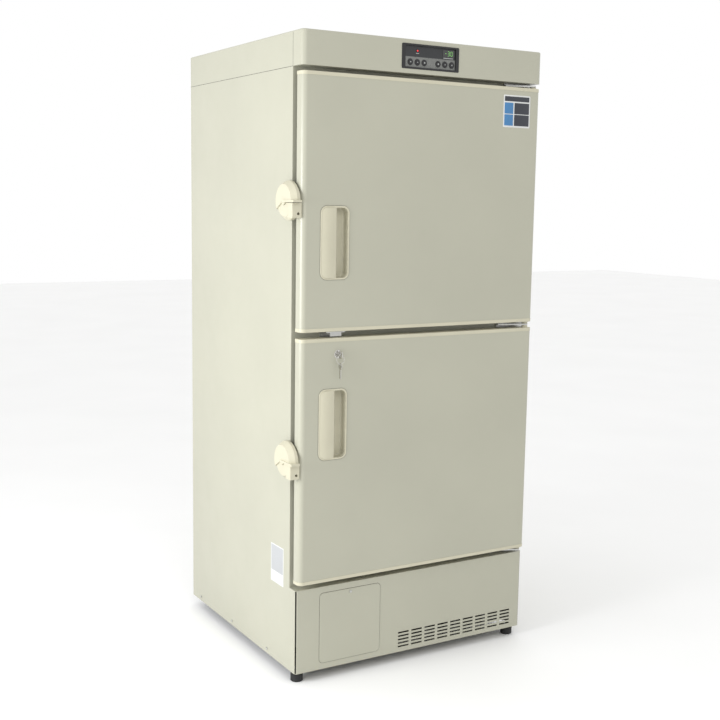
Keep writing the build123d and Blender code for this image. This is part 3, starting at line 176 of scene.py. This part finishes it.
# Materials
class Paint:
    """A procedural finish: its shader, and short ways to add colour change and relief to it."""

    def __init__(self, name, colour, roughness, metallic=0.0):
        self.material = bpy.data.materials.new(name)
        self.material.use_nodes = True
        self.tree = self.material.node_tree
        self.shader = self.tree.nodes["Principled BSDF"]
        self.shader.inputs["Base Color"].default_value = (*colour, 1.0)
        self.shader.inputs["Roughness"].default_value = roughness
        self.shader.inputs["Metallic"].default_value = metallic
        self.place = self.tree.nodes.new("ShaderNodeTexCoord").outputs["Object"]
        self.colour = colour
        self.roughness = roughness
        self.relief = None

    def link(self, source, target):
        self.tree.links.new(source, target)

    def stretched(self, scale):
        mapping = self.tree.nodes.new("ShaderNodeMapping")
        mapping.inputs["Scale"].default_value = scale
        self.link(self.place, mapping.inputs["Vector"])
        return mapping.outputs["Vector"]

    def noise(self, scale, detail=4.0, along=(1.0, 1.0, 1.0)):
        texture = self.tree.nodes.new("ShaderNodeTexNoise")
        texture.inputs["Scale"].default_value = scale
        texture.inputs["Detail"].default_value = detail
        self.link(self.stretched(along), texture.inputs["Vector"])
        return texture.outputs["Fac"]

    def span(self, value, low, high):
        """Spreads the noise's usual stretch over low to high."""
        node = self.tree.nodes.new("ShaderNodeMapRange")
        node.inputs["From Min"].default_value = NOISE_LOW
        node.inputs["From Max"].default_value = NOISE_HIGH
        node.inputs["To Min"].default_value = low
        node.inputs["To Max"].default_value = high
        self.link(value, node.inputs["Value"])
        return node.outputs["Result"]

    def tone(self, other, value, share=1.0):
        """Blends the colour towards another one where the value is high."""
        mix = self.tree.nodes.new("ShaderNodeMix")
        mix.data_type = "RGBA"
        mix.inputs["A"].default_value = (*self.colour, 1.0)
        mix.inputs["B"].default_value = (*other, 1.0)
        self.link(self.span(value, 0.0, share), mix.inputs["Factor"])
        self.link(mix.outputs["Result"], self.shader.inputs["Base Color"])

    def above(self, level):
        """One where a point is higher than the level, else nought."""
        axes = self.tree.nodes.new("ShaderNodeSeparateXYZ")
        self.link(self.place, axes.inputs["Vector"])
        node = self.tree.nodes.new("ShaderNodeMath")
        node.operation = "GREATER_THAN"
        node.inputs[1].default_value = level
        self.link(axes.outputs["Z"], node.inputs[0])
        return node.outputs["Value"]

    def cover_with(self, colour, mask):
        """Lays a plain colour over what the base colour shows, where the mask is one."""
        base = self.shader.inputs["Base Color"]
        mix = self.tree.nodes.new("ShaderNodeMix")
        mix.data_type = "RGBA"
        self.link(base.links[0].from_socket, mix.inputs["A"])
        mix.inputs["B"].default_value = (*colour, 1.0)
        self.link(mask, mix.inputs["Factor"])
        self.link(mix.outputs["Result"], base)

    def polish(self, value, change):
        """Lets the roughness drift by the change to either side."""
        low, high = self.roughness - change, self.roughness + change
        self.link(self.span(value, low, high), self.shader.inputs["Roughness"])

    def bump(self, value, depth, strength):
        node = self.tree.nodes.new("ShaderNodeBump")
        node.inputs["Strength"].default_value = strength
        node.inputs["Distance"].default_value = depth
        self.link(value, node.inputs["Height"])
        if self.relief:
            self.link(self.relief, node.inputs["Normal"])
        self.relief = node.outputs["Normal"]
        self.link(self.relief, self.shader.inputs["Normal"])

    def coat(self, weight, roughness):
        self.shader.inputs["Coat Weight"].default_value = weight
        self.shader.inputs["Coat Roughness"].default_value = roughness

    def glow(self, colour, strength):
        self.shader.inputs["Emission Color"].default_value = (*colour, 1.0)
        self.shader.inputs["Emission Strength"].default_value = strength


def scaled(colour, share):
    """The colour made darker by a share under one, or lighter by a share over one."""
    return tuple(channel * share for channel in colour)


def enamel(name, colour, roughness=0.36):
    """Stoved paint on sheet steel: an orange-peel skin, a faint drift of tone, a few dull spots."""
    paint = Paint(name, colour, roughness)
    paint.tone(scaled(colour, 0.94), paint.noise(scale=3.0, detail=5.0))
    paint.polish(paint.noise(scale=14.0, detail=6.0), change=0.06)
    paint.bump(paint.noise(scale=900.0, detail=2.0), depth=0.00006, strength=0.35)
    paint.coat(weight=0.15, roughness=0.25)
    return paint


def moulding(name, colour, roughness=0.45, grain=1600.0):
    """Injection-moulded plastic with a spark-eroded grain."""
    paint = Paint(name, colour, roughness)
    paint.tone(scaled(colour, 0.93), paint.noise(scale=9.0))
    paint.polish(paint.noise(scale=40.0), change=0.05)
    paint.bump(paint.noise(scale=grain, detail=2.0), depth=0.00008, strength=0.4)
    return paint


def steel(name, colour, roughness, along):
    """Metal with a rolled or brushed grain along one direction."""
    paint = Paint(name, colour, roughness, metallic=1.0)
    paint.tone(scaled(colour, 0.86), paint.noise(scale=60.0, detail=6.0, along=along))
    paint.polish(paint.noise(scale=220.0, along=along), change=0.08)
    paint.bump(paint.noise(scale=420.0, detail=3.0, along=along), depth=0.00004, strength=0.3)
    return paint


def rubber(name, colour):
    """Dull rubber with paler patches."""
    paint = Paint(name, colour, roughness=0.72)
    paint.tone(scaled(colour, 1.5), paint.noise(scale=30.0, detail=5.0))
    paint.polish(paint.noise(scale=90.0), change=0.08)
    paint.bump(paint.noise(scale=1100.0, detail=3.0), depth=0.0001, strength=0.5)
    return paint


def foam_block(name, colour):
    """Cut foam with open cells."""
    paint = Paint(name, colour, roughness=0.9)
    paint.tone(scaled(colour, 0.8), paint.noise(scale=25.0, detail=6.0))
    paint.bump(paint.noise(scale=380.0, detail=6.0), depth=0.0006, strength=0.8)
    return paint


def display_glass(name, colour):
    """Dark glossy glass with a clear coat."""
    paint = Paint(name, colour, roughness=0.12)
    paint.coat(weight=1.0, roughness=0.04)
    paint.polish(paint.noise(scale=20.0), change=0.04)
    return paint


def lit(name, colour, roughness, glow, strength, grain):
    """A coloured lens or figure that glows a little."""
    paint = Paint(name, colour, roughness)
    paint.glow(glow, strength)
    paint.polish(paint.noise(scale=grain), change=0.05)
    return paint


def label_print(name, colour, roughness=0.34):
    """Smooth film or ink with a fine grain."""
    return moulding(name, colour, roughness, grain=2400.0)


def panel_ground(name):
    """The control plate's print: speckled grey behind the keys and near black above them."""
    paint = moulding(name, (0.085, 0.087, 0.082), roughness=0.5)
    paint.tone((0.26, 0.265, 0.25), paint.noise(scale=900.0, detail=2.0), share=0.9)
    paint.cover_with((0.022, 0.023, 0.025), paint.above(plate_low.z + KEY_STRIP_TOP))
    return paint


FINISHES = {
    "ivory_paint": enamel("ivory_enamel", (0.425, 0.42, 0.335)),
    "white_paint": enamel("white_liner_enamel", (0.74, 0.75, 0.73), roughness=0.3),
    "cream_plastic": moulding("cream_moulding", (0.545, 0.52, 0.395)),
    "white_foamed_panel": moulding("white_inner_moulding", (0.76, 0.76, 0.72), roughness=0.5),
    "foam": foam_block("cut_foam", (0.78, 0.70, 0.44)),
    "gasket_rubber": rubber("gasket_rubber", (0.060, 0.064, 0.052)),
    "black_plastic": moulding("black_moulding", (0.012, 0.012, 0.013), roughness=0.42),
    "grey_plastic": moulding("grey_moulding", (0.075, 0.080, 0.080), roughness=0.5),
    "dark_glass": display_glass("display_glass", (0.006, 0.008, 0.007)),
    "bright_steel": steel("zinc_plated_steel", (0.58, 0.58, 0.56), 0.32, along=(1.0, 12.0, 12.0)),
    "dark_steel": enamel("dark_chassis_paint", (0.035, 0.035, 0.036), roughness=0.5),
    "black_paint": enamel("black_compressor_paint", (0.012, 0.012, 0.012), roughness=0.25),
    "aluminium": steel("rolled_aluminium", (0.72, 0.73, 0.74), 0.35, along=(14.0, 1.0, 14.0)),
    "copper": steel("drawn_copper", (0.62, 0.30, 0.17), 0.3, along=(12.0, 12.0, 1.0)),
    "chrome": steel("nickel_plating", (0.66, 0.65, 0.62), 0.16, along=(1.0, 1.0, 1.0)),
    "rubber": rubber("black_foot_rubber", (0.012, 0.012, 0.012)),
    "wheel_nylon": moulding("black_wheel_nylon", (0.02, 0.02, 0.021), roughness=0.38),
}

# Finishes of the small pieces, beside those of the record's slots
lamp_paint = lit(
    "lit_lamp", (0.75, 0.02, 0.03), 0.25, glow=(1.0, 0.05, 0.06), strength=0.7, grain=900.0)
figure_paint = lit(
    "lit_figures", (0.16, 0.42, 0.10), 0.4, glow=(0.30, 0.75, 0.20), strength=0.28, grain=700.0)
mark_paint = moulding("printed_marks", (0.34, 0.35, 0.34), roughness=0.5)
print_white = label_print("label_film", (0.66, 0.67, 0.66), roughness=0.38)
print_dark = label_print("label_dark_print", (0.030, 0.034, 0.045))
print_blue = label_print("label_blue_print", (0.055, 0.20, 0.42))
print_grey = label_print("label_grey_print", (0.42, 0.43, 0.44), roughness=0.4)
panel_print = panel_ground("panel_print")
# Painted shadow: a dark finish that stands in for the shade in the top's joints and round the
# recorder's cover and the handles
gap_shadow_paint = rubber("painted_gap_shadow", (0.050, 0.052, 0.044))


def dress_cad_nodes():
    """Gives every solid the finish of its slot, and the control plate its print."""
    for row in frame["record"]["subparts"]:
        node = frame["nodes"][row["node"]]
        material = FINISHES[row["material_slot"]].material
        if not node.material_slots:
            node.data.materials.append(material)
        for place in node.material_slots:
            place.material = material
    frame["nodes"]["control_plate"].material_slots[0].material = panel_print.material


# Modelling steps that the pieces share
def settle(name):
    """Names a new piece and puts its place and size into its mesh."""
    piece = bpy.context.object
    piece.name = piece.data.name = name
    bpy.ops.object.transform_apply(location=True, rotation=True, scale=True)
    return piece


def start_block(name, low, high):
    """A block between two corners, as the start of a piece."""
    clear_selection()
    middle = [(near + far) / 2 for near, far in zip(low, high)]
    size = [far - near for near, far in zip(low, high)]
    bpy.ops.mesh.primitive_cube_add(size=1.0, location=middle, scale=size)
    return settle(name)


def start_disc(name, centre, axis, radius, depth, sides=32):
    """A round bar along X or Y, as the start of a piece."""
    turn = (0.0, pi / 2, 0.0) if axis == X else (pi / 2, 0.0, 0.0)
    clear_selection()
    bpy.ops.mesh.primitive_cylinder_add(
        vertices=sides, radius=radius, depth=depth, location=centre, rotation=turn)
    return settle(name)


def open_edit(piece, kind):
    """Opens a piece in edit mode with nothing selected."""
    bpy.context.view_layer.objects.active = piece
    bpy.ops.object.mode_set(mode="EDIT")
    bpy.ops.mesh.select_mode(type=kind)
    bpy.ops.mesh.select_all(action="DESELECT")
    return bmesh.from_edit_mesh(piece.data)


def show_picked(piece, mesh):
    mesh.select_flush_mode()
    bmesh.update_edit_mesh(piece.data)


def pick_faces(piece, wanted):
    """Opens a piece in edit mode with only the wanted faces selected."""
    mesh = open_edit(piece, "FACE")
    for face in mesh.faces:
        face.select_set(wanted(face.calc_center_median(), face.normal))
    show_picked(piece, mesh)


def pick_edges(piece, wanted):
    """Opens a piece in edit mode with only the wanted edges selected."""
    mesh = open_edit(piece, "EDGE")
    for edge in mesh.edges:
        edge.select_set(wanted(edge.verts[0].co, edge.verts[1].co))
    show_picked(piece, mesh)


def close_edit():
    bpy.ops.object.mode_set(mode="OBJECT")


def round_corners(piece, axis, radius, steps=5):
    """Rounds the edges that run along one axis."""
    def along(start, end):
        return abs((end - start)[axis]) > FACING * (end - start).length
    pick_edges(piece, along)
    bpy.ops.mesh.bevel(offset=radius, segments=steps, affect="EDGES")
    close_edit()


def soften(piece, radius, steps=2):
    """A small rounding on every sharp edge, then smooth shading with the flats kept flat."""
    bevel = piece.modifiers.new("soft_edges", "BEVEL")
    bevel.width = radius
    bevel.segments = steps
    bevel.limit_method = "ANGLE"
    bevel.angle_limit = SHARP_ANGLE
    clear_selection()
    bpy.context.view_layer.objects.active = piece
    piece.select_set(True)
    bpy.ops.object.modifier_apply(modifier=bevel.name)
    bpy.ops.object.shade_smooth_by_angle(angle=SMOOTH_ANGLE)
    clear_selection()


def join_pieces(name, parts):
    clear_selection()
    for part in parts:
        part.select_set(True)
    bpy.context.view_layer.objects.active = parts[0]
    bpy.ops.object.join()
    whole = bpy.context.object
    whole.name = whole.data.name = name
    clear_selection()
    return whole


def copy_piece(piece, name, shift):
    """A copy with its own mesh, which takes the shift, so that the object stays at the origin."""
    twin = piece.copy()
    twin.data = piece.data.copy()
    twin.name = twin.data.name = name
    twin.data.transform(Matrix.Translation(shift))
    bpy.context.scene.collection.objects.link(twin)
    return twin


def hand_over(piece, body, slot_name, paint=None):
    """Rides a finished piece on its body, with the finish of the named slot or another one."""
    piece.data.materials.clear()
    piece.data.materials.append((paint or FINISHES[slot_name]).material)
    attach(piece, body)


def raised_plate(name, low, high, axis, corner, edge):
    """A thin plate with round corners, seen along one axis, and a soft rim."""
    plate = start_block(name, low, high)
    round_corners(plate, axis, corner)
    soften(plate, edge)
    return plate


def ring_plate(name, low, high, corner, band):
    """A flat ring seen from the front, with round corners outside and inside."""
    ring = start_block(name, low, high)
    round_corners(ring, Y, corner, steps=8)
    pick_faces(ring, lambda centre, normal: abs(normal.y) > FACING)
    bpy.ops.mesh.inset(thickness=band, depth=0.0)
    bpy.ops.mesh.delete(type="FACE")
    bpy.ops.mesh.select_mode(type="EDGE")
    bpy.ops.mesh.select_all(action="DESELECT")
    bpy.ops.mesh.select_non_manifold(extend=False)
    bpy.ops.mesh.bridge_edge_loops()
    bpy.ops.mesh.select_all(action="SELECT")
    bpy.ops.mesh.normals_make_consistent(inside=False)
    close_edit()
    return ring


# Control panel
def make_status_lamp(x, z):
    """A domed lens, cut off behind the plate and closed by a fan of faces, in a dished collar."""
    clear_selection()
    bpy.ops.mesh.primitive_uv_sphere_add(
        segments=LAMP_SEGMENTS, ring_count=LAMP_RINGS, radius=LAMP_RADIUS,
        location=(x, PLATE_FRONT, z))
    lamp = settle("status_lamp")
    pick_faces(lamp, lambda centre, normal: centre.y > PLATE_FRONT + LENS_DEPTH)
    bpy.ops.mesh.delete(type="FACE")
    bpy.ops.mesh.select_all(action="SELECT")
    bpy.ops.mesh.select_mode(type="EDGE")
    bpy.ops.mesh.region_to_loop()
    bpy.ops.mesh.edge_face_add()
    close_edit()
    soften(lamp, LENS_EDGE)
    pick_faces(lamp, lambda centre, normal: normal.y > FACING)
    bpy.ops.mesh.poke()
    close_edit()
    hand_over(lamp, "cabinet", "dark_glass", lamp_paint)

    middle = PLATE_FRONT - FILM
    collar = start_disc("lamp_collar", (x, middle, z), Y, COLLAR_RADIUS, 2 * FILM)
    pick_faces(collar, lambda centre, normal: abs(normal.y) > FACING and centre.y < middle)
    bpy.ops.mesh.inset(thickness=COLLAR_BAND, depth=-FILM)
    close_edit()
    soften(collar, FILM_EDGE)
    hand_over(collar, "cabinet", "black_plastic")


def make_strip(name, left, right, foot, top):
    """A plain printed strip, in the place of a line of print on the plate."""
    strip = raised_plate(
        name, (left, PLATE_FRONT - STRIP_PROUD, foot), (right, PLATE_FRONT, top),
        Y, FILM, STRIP_EDGE)
    hand_over(strip, "cabinet", "grey_plastic", mark_paint)


def make_panel_details():
    lamp_x = bezel_low.x + LAMP_INSET
    lamp_z = bezel_high.z - LAMP_DROP
    make_status_lamp(lamp_x, lamp_z)
    make_strip(
        "lamp_strip", lamp_x - STRIP_REACH, lamp_x + STRIP_REACH,
        lamp_z - STRIP_FOOT, lamp_z - STRIP_TOP)
    make_strip(
        "display_strip", window_low.x + DISPLAY_STRIP_LEFT, window_high.x - DISPLAY_STRIP_RIGHT,
        window_low.z - DISPLAY_STRIP_FOOT, window_low.z - DISPLAY_STRIP_TOP)


# Marks on the six keys: the number of sides, the turn, and whether the middle is sunk
KEY_MARKS = (
    (4, 0.0, False),
    (3, 0.0, False),
    (ROUND_MARK, 0.0, True),
    (ROUND_MARK, 0.0, False),
    (3, pi, False),
    (4, 0.0, True),
)


def make_key_marks():
    """A plain figure on each key: squares, triangles, a ring and a dot."""
    for number, (sides, turn, sunk) in enumerate(KEY_MARKS, start=1):
        low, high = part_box(f"panel_key_{number}")
        x, z = (low.x + high.x) / 2, (low.z + high.z) / 2
        clear_selection()
        bpy.ops.mesh.primitive_cylinder_add(
            vertices=sides, radius=MARK_RADIUS, depth=FILM,
            location=(x, low.y - FILM / 2, z), rotation=(pi / 2, turn, 0.0))
        mark = settle(f"panel_key_mark_{number}")
        if sunk:
            pick_faces(mark, lambda centre, normal: normal.y < -FACING)
            bpy.ops.mesh.inset(thickness=MARK_BAND, depth=-MARK_SINK)
            close_edit()
        soften(mark, MARK_EDGE, steps=1)
        hand_over(mark, f"panel_key_{number}_body", "grey_plastic", mark_paint)


# Strokes of a figure: their place in widths and half heights, and whether they lie level
STROKES = {
    "top": (0.0, 1.0, True),
    "upper_left": (-0.5, 0.5, False),
    "upper_right": (0.5, 0.5, False),
    "middle": (0.0, 0.0, True),
    "lower_left": (-0.5, -0.5, False),
    "lower_right": (0.5, -0.5, False),
    "bottom": (0.0, -1.0, True),
}
# The lit strokes of a minus, a three and a nought
FIGURES = (
    ("middle",),
    ("top", "upper_right", "middle", "lower_right", "bottom"),
    ("top", "upper_left", "upper_right", "lower_left", "lower_right", "bottom"),
)


def make_figures():
    """Minus thirty, as lit strokes on the display's window."""
    middle_x = (window_low.x + window_high.x) / 2
    middle_z = (window_low.z + window_high.z) / 2
    strokes = []
    for place, figure in enumerate(FIGURES):
        for name in figure:
            across, up, level = STROKES[name]
            x = middle_x + (place - 1) * FIGURE_PITCH + across * FIGURE_WIDTH
            z = middle_z + up * FIGURE_HEIGHT / 2
            reach = (FIGURE_WIDTH if level else FIGURE_HEIGHT / 2) / 2 - STROKE_GAP
            half_x, half_z = (reach, STROKE / 2) if level else (STROKE / 2, reach)
            stroke = start_block(
                f"stroke_{place}_{name}", (x - half_x, WINDOW_FRONT - FILM, z - half_z),
                (x + half_x, WINDOW_FRONT, z + half_z))
            round_corners(stroke, Y, STROKE_CORNER, steps=2)
            strokes.append(stroke)
    figures = join_pieces("display_figures", strokes)
    soften(figures, PRINT_EDGE, steps=1)
    hand_over(figures, "cabinet", "dark_glass", figure_paint)


# Labels: blank films in the places of the printed ones
def print_on_door(name, left, right, foot, top):
    """A plain printed block on the door's film."""
    return raised_plate(
        name, (left, DOOR_FRONT - PRINT_PROUD, foot), (right, DOOR_FRONT - PRINT_SUNK, top),
        Y, PRINT_CORNER, PRINT_EDGE)


def make_door_label():
    """A white film with a dark band, and two rows of a blue square beside a dark field."""
    right = door_high.x - STICKER_RIGHT
    top = door_high.z - STICKER_TOP
    left, foot = right - STICKER_SIZE[0], top - STICKER_SIZE[1]
    film = raised_plate(
        "door_label", (left, DOOR_FRONT - FILM, foot), (right, DOOR_FRONT, top),
        Y, STICKER_CORNER, FILM_EDGE)
    hand_over(film, "upper_door", "cream_plastic", print_white)

    inner_left, inner_right = left + STICKER_MARGIN, right - STICKER_MARGIN
    band_top = top - STICKER_MARGIN
    band = print_on_door(
        "door_label_band", inner_left, inner_right, band_top - STICKER_BAND, band_top)
    hand_over(band, "upper_door", "black_plastic", print_dark)

    row_top = top - 2 * STICKER_MARGIN - STICKER_BAND
    row_foot = row_top - STICKER_SQUARE
    square_right = inner_left + STICKER_SQUARE
    square = print_on_door("door_label_square_1", inner_left, square_right, row_foot, row_top)
    field = print_on_door(
        "door_label_field_1", square_right + STICKER_MARGIN, inner_right, row_foot, row_top)
    next_row = Vector((0.0, 0.0, -(STICKER_SQUARE + STICKER_MARGIN / 2)))
    for block, copy_name, paint in (
            (square, "door_label_square_2", print_blue),
            (field, "door_label_field_2", print_dark)):
        for piece in (block, copy_piece(block, copy_name, next_row)):
            hand_over(piece, "upper_door", "black_plastic", paint)


def make_side_label():
    """A white film with a grey field over its upper part."""
    near, foot = SIDE_LABEL_LOW
    far, top = SIDE_LABEL_HIGH
    film = raised_plate(
        "side_label", (SIDE_LEFT - FILM, near, foot), (SIDE_LEFT, far, top),
        X, SIDE_LABEL_CORNER, FILM_EDGE)
    hand_over(film, "cabinet", "cream_plastic", print_white)
    field = raised_plate(
        "side_label_field",
        (SIDE_LEFT - PRINT_PROUD, near + LABEL_BORDER, foot + SIDE_FIELD_FOOT * (top - foot)),
        (SIDE_LEFT - PRINT_SUNK, far - LABEL_BORDER, top - LABEL_BORDER),
        X, SIDE_FIELD_CORNER, PRINT_EDGE)
    hand_over(field, "cabinet", "grey_plastic", print_grey)


# Screws: a pan head with a sunk middle is modelled once for each side, and copied along it
def make_screw(name, place, axis, outward):
    centre = Vector(place)
    centre[axis] += outward * SCREW_HEIGHT / 2
    outer = place[axis] + outward * SCREW_HEIGHT
    screw = start_disc(name, centre, axis, SCREW_RADIUS, SCREW_HEIGHT, SCREW_SIDES)
    pick_faces(screw, lambda middle, normal: abs(middle[axis] - outer) < SCREW_NEAR)
    bpy.ops.mesh.inset(thickness=SCREW_BAND, depth=0.0)
    bpy.ops.mesh.inset(thickness=SCREW_WALL, depth=-SCREW_SINK)
    close_edit()
    soften(screw, SCREW_EDGE, steps=3)
    return screw


def make_screw_row(places, axis, outward):
    """The screws at the named places, all of them facing the same way."""
    (first_name, first_place), *others = places.items()
    first = make_screw(first_name, first_place, axis, outward)
    screws = [first]
    for name, place in others:
        screws.append(copy_piece(first, name, Vector(place) - Vector(first_place)))
    for screw in screws:
        hand_over(screw, "cabinet", "bright_steel")


def rear_screw_places():
    """Eight screws round the rear cover, and a row along the foot of the top cover's back."""
    places = {}
    columns = (rear_low.x + REAR_SCREW_INSET, 0.0, rear_high.x - REAR_SCREW_INSET)
    middle = (rear_low.z + rear_high.z) / 2
    rows = (rear_low.z + REAR_SCREW_MARGIN, middle, rear_high.z - REAR_SCREW_MARGIN)
    for row, z in enumerate(rows, start=1):
        for column, x in enumerate(columns, start=1):
            if (row, column) != (2, 2):
                places[f"rear_cover_screw_{row}_{column}"] = (x, rear_high.y, z)
    pitch = (top_high.x - top_low.x - 2 * TOP_SCREW_INSET) / (TOP_SCREWS - 1)
    for number in range(TOP_SCREWS):
        x = top_low.x + TOP_SCREW_INSET + number * pitch
        places[f"top_cover_screw_{number + 1}"] = (x, top_high.y, header_low.z + TOP_SCREW_RISE)
    return places


def side_screw_places(side, x):
    return {
        f"side_panel_screw_{side}_{number}": (x, y, side_low.z + SIDE_SCREW_RISE)
        for number, y in enumerate(SIDE_SCREW_PLACES, start=1)
    }


def make_screws():
    cover_place = (cover_low.x + COVER_SCREW_INSET, cover_low.y, cover_high.z - COVER_SCREW_DROP)
    make_screw_row({"recorder_cover_screw": cover_place}, Y, outward=-1)
    make_screw_row(rear_screw_places(), Y, outward=1)
    make_screw_row(side_screw_places("left", top_low.x), X, outward=-1)
    make_screw_row(side_screw_places("right", top_high.x), X, outward=1)


# Seams: dark strips of painted shadow in the gaps of the top cover's joints, on its left and, as
# copies, on its right
def make_seams():
    near, far = top_low.x - SEAM_PROUD, top_low.x + SEAM_PROUD
    across = Vector((top_high.x - top_low.x, 0.0, 0.0))
    upright = start_block(
        "header_seam_left", (near, top_low.y - SEAM / 2, header_low.z),
        (far, top_low.y + SEAM / 2, header_high.z - HEADER_SEAM_TOP))
    level = start_block(
        "side_seam_left", (near, top_low.y, header_low.z - SEAM / 2),
        (far, top_high.y, header_low.z + SEAM / 2))
    for seam, copy_name in ((upright, "header_seam_right"), (level, "side_seam_right")):
        soften(seam, SEAM_EDGE, steps=1)
        for piece in (seam, copy_piece(seam, copy_name, across)):
            hand_over(piece, "cabinet", "gasket_rubber", gap_shadow_paint)


# Painted shadow: dark rings that show where the recorder's cover and the handles sink into their
# panels
def make_shadow_ring(name, low, high, wall, corner, body):
    ring = ring_plate(
        name, (low.x - SHADOW_LINE, wall - 2 * SEAM_PROUD, low.z - SHADOW_LINE),
        (high.x + SHADOW_LINE, wall, high.z + SHADOW_LINE), corner + SHADOW_LINE, SHADOW_BAND)
    soften(ring, SEAM_EDGE, steps=1)
    hand_over(ring, body, "gasket_rubber", gap_shadow_paint)


# Painted shadow rings round the recorder's cover and both handles
def make_shadow_rings():
    make_shadow_ring("recorder_cover_shadow_ring", cover_low, cover_high, cover_high.y, COVER_CORNER, "cabinet")
    for side in ("upper", "lower"):
        low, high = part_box(f"{side}_door_handle")
        make_shadow_ring(f"{side}_handle_shadow_ring", low, high, DOOR_FRONT, HANDLE_CORNER, f"{side}_door")


# Camera, light and floor
def place_camera():
    data = bpy.data.cameras.new("camera")
    data.sensor_width = SENSOR_MM
    data.lens = FOCAL_PIXELS / IMAGE_PIXELS * SENSOR_MM
    camera = bpy.data.objects.new("camera", data)
    bpy.context.scene.collection.objects.link(camera)
    ahead = Vector((
        sin(CAMERA_YAW) * cos(CAMERA_PITCH),
        cos(CAMERA_YAW) * cos(CAMERA_PITCH),
        -sin(CAMERA_PITCH),
    ))
    right = Vector((cos(CAMERA_YAW), -sin(CAMERA_YAW), 0.0))
    up = right.cross(ahead)
    rolled_right = right * cos(CAMERA_ROLL) + up * sin(CAMERA_ROLL)
    rolled_up = up * cos(CAMERA_ROLL) - right * sin(CAMERA_ROLL)
    turn = Matrix((rolled_right, rolled_up, -ahead)).transposed().to_4x4()
    camera.matrix_world = Matrix.Translation(CAMERA_PLACE) @ turn
    bpy.context.scene.camera = camera


def soft_lamp(name, place, aim, size, power, colour=(1.0, 1.0, 1.0)):
    """A soft rectangular light that faces a point of the cabinet."""
    data = bpy.data.lights.new(name, "AREA")
    data.shape = "RECTANGLE"
    data.size, data.size_y = size
    data.energy = power
    data.color = colour
    lamp = bpy.data.objects.new(name, data)
    bpy.context.scene.collection.objects.link(lamp)
    lamp.location = place
    lamp.rotation_mode = "QUATERNION"
    lamp.rotation_quaternion = (Vector(aim) - Vector(place)).to_track_quat("-Z", "Y")


def light_studio():
    """Even light from all round, a cool light on the left side and a weaker one on the doors."""
    soft_lamp(
        "window_light", place=(-2.3, -0.45, 1.2), aim=(-0.4, -0.1, 1.15),
        size=(1.0, 1.0), power=37.0, colour=(0.97, 0.98, 1.0))
    soft_lamp(
        "front_fill", place=(-1.0, -3.6, 3.2), aim=(0.1, -0.4, 1.3),
        size=(2.2, 1.6), power=20.0)
    world = bpy.data.worlds.new("studio")
    world.use_nodes = True
    sky = world.node_tree.nodes["Background"]
    sky.inputs["Color"].default_value = (1.0, 1.0, 1.0, 1.0)
    sky.inputs["Strength"].default_value = 1.0
    bpy.context.scene.world = world
    bpy.context.scene.view_settings.view_transform = "Standard"


def lay_floor():
    bpy.ops.mesh.primitive_plane_add(size=FLOOR_SIZE, location=(0.0, 0.0, 0.0))
    floor = bpy.context.object
    floor.name = "floor"
    paint = Paint("pale_floor", (0.93, 0.93, 0.925), roughness=0.6)
    paint.tone((0.91, 0.91, 0.905), paint.noise(scale=1.5))
    floor.data.materials.append(paint.material)
    clear_selection()


place_camera()
light_studio()
lay_floor()
dress_cad_nodes()
make_panel_details()
make_key_marks()
make_figures()
make_door_label()
make_side_label()
make_screws()
make_seams()
make_shadow_rings()
